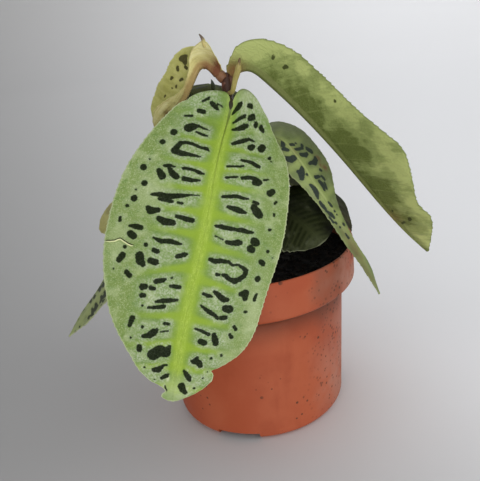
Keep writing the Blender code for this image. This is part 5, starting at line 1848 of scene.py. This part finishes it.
@dataclass(frozen=True)
class GrowingMix:
    """The growing mix, in metres: a closed body with a lumpy top, and loose crumbs bedded in it."""

    pot: Pot
    top: float = 78.5 * MM
    lump: float = 1.1 * MM
    grit: float = 0.9 * MM
    gap: float = 0.3 * MM
    bottom: float = 4.4 * MM
    rings: int = 110
    segments: int = 300
    crumbs: int = 900
    seed: int = 21
    finish: MixFinish = MixFinish()

    # The part's lumps, in radians a metre along X, along Y and on the slant, and finer grit
    LUMP_ACROSS = 210
    LUMP_ALONG = 170
    LUMP_SLANT = (250, 330)
    LUMP_SLANT_SHARE = 0.6
    LUMP_PHASES = (1.3, -0.4)
    GRIT_SCALES = ((260, 1), (620, 2), (1400, 4))
    GRIT_PLACE = (31, 17)
    WALL_HEIGHTS = (76, 72, 69, 66, 63.5, 60)
    FOOT_INSET = 1.5 * MM
    CRUMB_STRETCH = (0.4, 1.0)
    CRUMB_LEAST = 0.4
    CRUMB_SPREAD = 1.6
    CRUMB_POWER = 3
    CRUMB_KNOBS = 0.25
    CRUMB_MARGIN = 2 * MM
    CRUMB_RISE = 0.15

    def height(self, x: Array, y: Array) -> Array:
        """Top of the mix: the part's broad lumps, and finer seeded noise at three scales."""
        first, second = self.LUMP_PHASES
        lumps = np.sin(self.LUMP_ACROSS * x + first) * np.cos(self.LUMP_ALONG * y + second)
        lumps = lumps + self.LUMP_SLANT_SHARE * np.sin(self.LUMP_SLANT[0] * x + self.LUMP_SLANT[1] * y)
        fade = np.clip(1 - (np.hypot(x, y) / self.pot.rim_radius) ** 4, 0, None)
        lattice = Lattice(self.seed)
        left, low = self.GRIT_PLACE
        rough = sum(lattice.at(x * scale + left, y * scale + low) / part for scale, part in self.GRIT_SCALES)
        return self.top + self.lump * lumps * fade + self.grit * (rough - 1) * 0.5

    def build(self) -> bpy.types.Object:
        """A disc of rings whose heights follow height(), its wall and its underside."""
        edge = float(self.pot.outer(np.array(self.top))) - self.pot.wall - self.gap
        disc = np.linspace(0, edge, self.rings)[1:]
        wall_heights = np.array([*self.WALL_HEIGHTS, self.bottom / MM]) * MM
        wall = self.pot.outer(wall_heights) - self.pot.wall - self.gap
        wall[-1] -= self.FOOT_INSET
        radius = np.r_[disc, wall]
        level = np.r_[np.full(len(disc), self.top), wall_heights]
        turn = full_turn(self.segments)
        x, y = radius[:, None] * np.cos(turn), radius[:, None] * np.sin(turn)
        z = np.repeat(level[:, None], self.segments, axis=1)
        z[:len(disc)] = self.height(x[:len(disc)], y[:len(disc)])
        points, faces = capped_rings(vectors(x, y, z), [(0, 0, self.top), (0, 0, self.bottom)])
        mix = add_piece("growing_mix", points, faces, [self.finish.material("mix_body", 0.8)])
        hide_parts("soil")
        self.build_crumbs(edge)
        return mix

    def build_crumbs(self, edge: float) -> bpy.types.Object:
        """Crumbs: twenty-sided lumps, stretched, turned and sunk by almost half, at seeded places.

        Args:
            edge: radius of the mix's top.

        Returns:
            The crumbs as one piece.
        """
        rng = np.random.default_rng(self.seed)
        ball, triangles = twenty_sided()
        spin = np.linalg.qr(rng.normal(size=(self.crumbs, 3, 3)))[0]
        spin *= np.sign(np.linalg.det(spin))[:, None, None]
        stretch = rng.uniform(*self.CRUMB_STRETCH, (self.crumbs, 1, 3))
        swell = rng.random((self.crumbs, 1, 1)) ** self.CRUMB_POWER
        size = stretch * (self.CRUMB_LEAST + self.CRUMB_SPREAD * swell) * MM
        knobs = rng.uniform(-1, 1, (self.crumbs, len(ball), 1))
        lumps = ball[None] * size * (1 + self.CRUMB_KNOBS * knobs)
        lumps = np.einsum("nij,nkj->nki", spin, lumps)
        reach = (edge - self.CRUMB_MARGIN) * np.sqrt(rng.random(self.crumbs))
        angle = rng.uniform(0, 2 * np.pi, self.crumbs)
        x, y = reach * np.cos(angle), reach * np.sin(angle)
        sit = self.height(x, y) + self.CRUMB_RISE * size.mean(axis=(1, 2))
        points = (lumps + np.stack([x, y, sit], axis=1)[:, None]).reshape(-1, 3)
        faces = (triangles[None] + len(ball) * np.arange(self.crumbs)[:, None, None]).reshape(-1, 3)
        crumbs = add_piece("mix_crumbs", points, faces.tolist(), [self.finish.material("mix_crumbs", 1.0)])
        return crumbs


@dataclass(frozen=True)
class Studio:
    """A pale floor that sweeps up all round, painted lighter on the right and darker up the wall, soft light
    from in front, and the photograph's viewpoint.
    """

    eye: tuple[float, float, float] = (0.0, -0.278, 0.196)
    yaw: float = -0.57
    pitch: float = -21.35
    roll: float = -6.45
    focal_pixels: float = 600.0
    image_side: float = 481.0
    sensor: float = 36.0
    sky: float = 0.5
    sky_colour: Colour = (0.95, 0.97, 1.0, 1.0)
    suns: tuple = (
        ("key", (0.6, -0.45, 0.6), 60.0, 0.5),
        ("front", (0.12, -0.97, -0.1), 60.0, 1.45),
        ("fill", (-0.65, -0.6, 0.45), 60.0, 0.35),
        ("back", (-0.3, 0.7, 0.6), 60.0, 0.5),
    )
    # Painted light on the paper: darker on the left, lighter on the right, and darker up the wall.
    paper_left_painted_shade: Colour = srgb(162, 161, 160)
    paper_right_painted_light: Colour = srgb(250, 250, 251)
    paper_high_painted_shade: Colour = srgb(60, 60, 60)
    flat_radius: float = 1.6
    sweep_radius: float = 1.4
    floor_sides: int = 96
    wall_rings: int = 25
    level_rings: tuple[float, ...] = (0.05, 0.5, 1.2)
    clip_start: float = 0.01

    def build(self) -> None:
        """Makes the floor, the lights and the camera, and shows colours as they are."""
        bpy.context.scene.view_settings.view_transform = "Standard"
        self.floor()
        self.lights()
        self.camera()

    def floor(self) -> None:
        """A round floor that is level out to flat_radius, then sweeps up all round into a wall, like a bowl.

        It takes shadows but casts none, so that the front sun, a little below level, reaches the plant.
        """
        turn = full_turn(self.floor_sides)
        angle = np.linspace(0, np.pi / 2, self.wall_rings)
        radius = np.r_[self.level_rings, self.flat_radius + self.sweep_radius * np.sin(angle)][:, None]
        height = np.r_[np.zeros(len(self.level_rings)), self.sweep_radius * (1 - np.cos(angle))][:, None]
        grid = vectors(radius * np.cos(turn), radius * np.sin(turn), height)
        shader = Shader("paper")
        x, y, z = shader.parts(shader.place())
        # Painted light: the paper lightens towards the right and darkens up the wall, as if lit from the
        # right.
        toward = (x + y * 0.15 - z * 0.75) / ((x * x + y * y) ** 0.5 + 0.3)
        painted_light_tint = shader.blend(toward.step(-0.45, 0.45), self.paper_left_painted_shade, self.paper_right_painted_light)
        painted_light_tint = shader.blend(z.step(0.2, 2.0) * 0.12, painted_light_tint, self.paper_high_painted_shade)
        mesh = bpy.data.meshes.new("floor")
        quads = grid_quads(len(radius), self.floor_sides, closed=True)[:, ::-1].tolist()
        mesh.from_pydata(grid.reshape(-1, 3).tolist(), [], quads + [list(range(self.floor_sides))])
        mesh.materials.append(shader.surface(Base_Color=painted_light_tint, Roughness=0.9, Specular_IOR_Level=0.1))
        mesh.shade_smooth()
        floor = bpy.data.objects.new("floor", mesh)
        bpy.context.scene.collection.objects.link(floor)
        floor.visible_shadow = False

    def lights(self) -> None:
        """Soft suns high on the right, about level in front, high on the left and behind; an even sky."""
        world = bpy.data.worlds.new("sky")
        world.use_nodes = True
        background = world.node_tree.nodes["Background"]
        background.inputs["Color"].default_value = self.sky_colour
        background.inputs["Strength"].default_value = self.sky
        bpy.context.scene.world = world
        for name, toward, spread, power in self.suns:
            lamp = bpy.data.lights.new(name, "SUN")
            lamp.angle = np.radians(spread)
            lamp.energy = power
            holder = bpy.data.objects.new(name, lamp)
            bpy.context.scene.collection.objects.link(holder)
            holder.matrix_world = self.facing(np.array(toward), -np.array(toward), 0.0)

    def facing(self, place: Array, aim: Array, roll: float) -> Matrix:
        """Placement that looks along aim, rolled by that angle in degrees about it."""
        ahead = unit(aim)
        right = unit(np.cross(ahead, [0, 0, 1]))
        up = np.cross(right, ahead)
        turn = np.radians(roll)
        side = np.cos(turn) * right + np.sin(turn) * up
        top = np.cos(turn) * up - np.sin(turn) * right
        matrix = np.eye(4)
        matrix[:3, :4] = np.stack([side, top, -ahead, place], axis=1)
        return Matrix(matrix.tolist())

    def camera(self) -> None:
        """The camera: a lens whose focal length in pixels of the photograph is focal_pixels."""
        data = bpy.data.cameras.new("camera")
        data.sensor_width = self.sensor
        data.lens = self.focal_pixels * self.sensor / self.image_side
        data.clip_start = self.clip_start
        camera = bpy.data.objects.new("camera", data)
        bpy.context.scene.collection.objects.link(camera)
        yaw, pitch = np.radians(self.yaw), np.radians(self.pitch)
        aim = np.array([np.sin(yaw) * np.cos(pitch), np.cos(yaw) * np.cos(pitch), np.sin(pitch)])
        camera.matrix_world = self.facing(np.array(self.eye), aim, self.roll)
        bpy.context.scene.camera = camera


def main() -> None:
    """Builds the pot, the mix, the stem, the bud and the leaves, and then the studio round them."""
    logging.basicConfig(level=logging.INFO, format="%(name)s: %(message)s")
    pot = Pot()
    pot.build()
    GrowingMix(pot).build()
    Stem().build()
    Bud().build()
    for leaf in LEAVES:
        leaf.build()
    Studio().build()


if __name__ == "__main__":
    main()
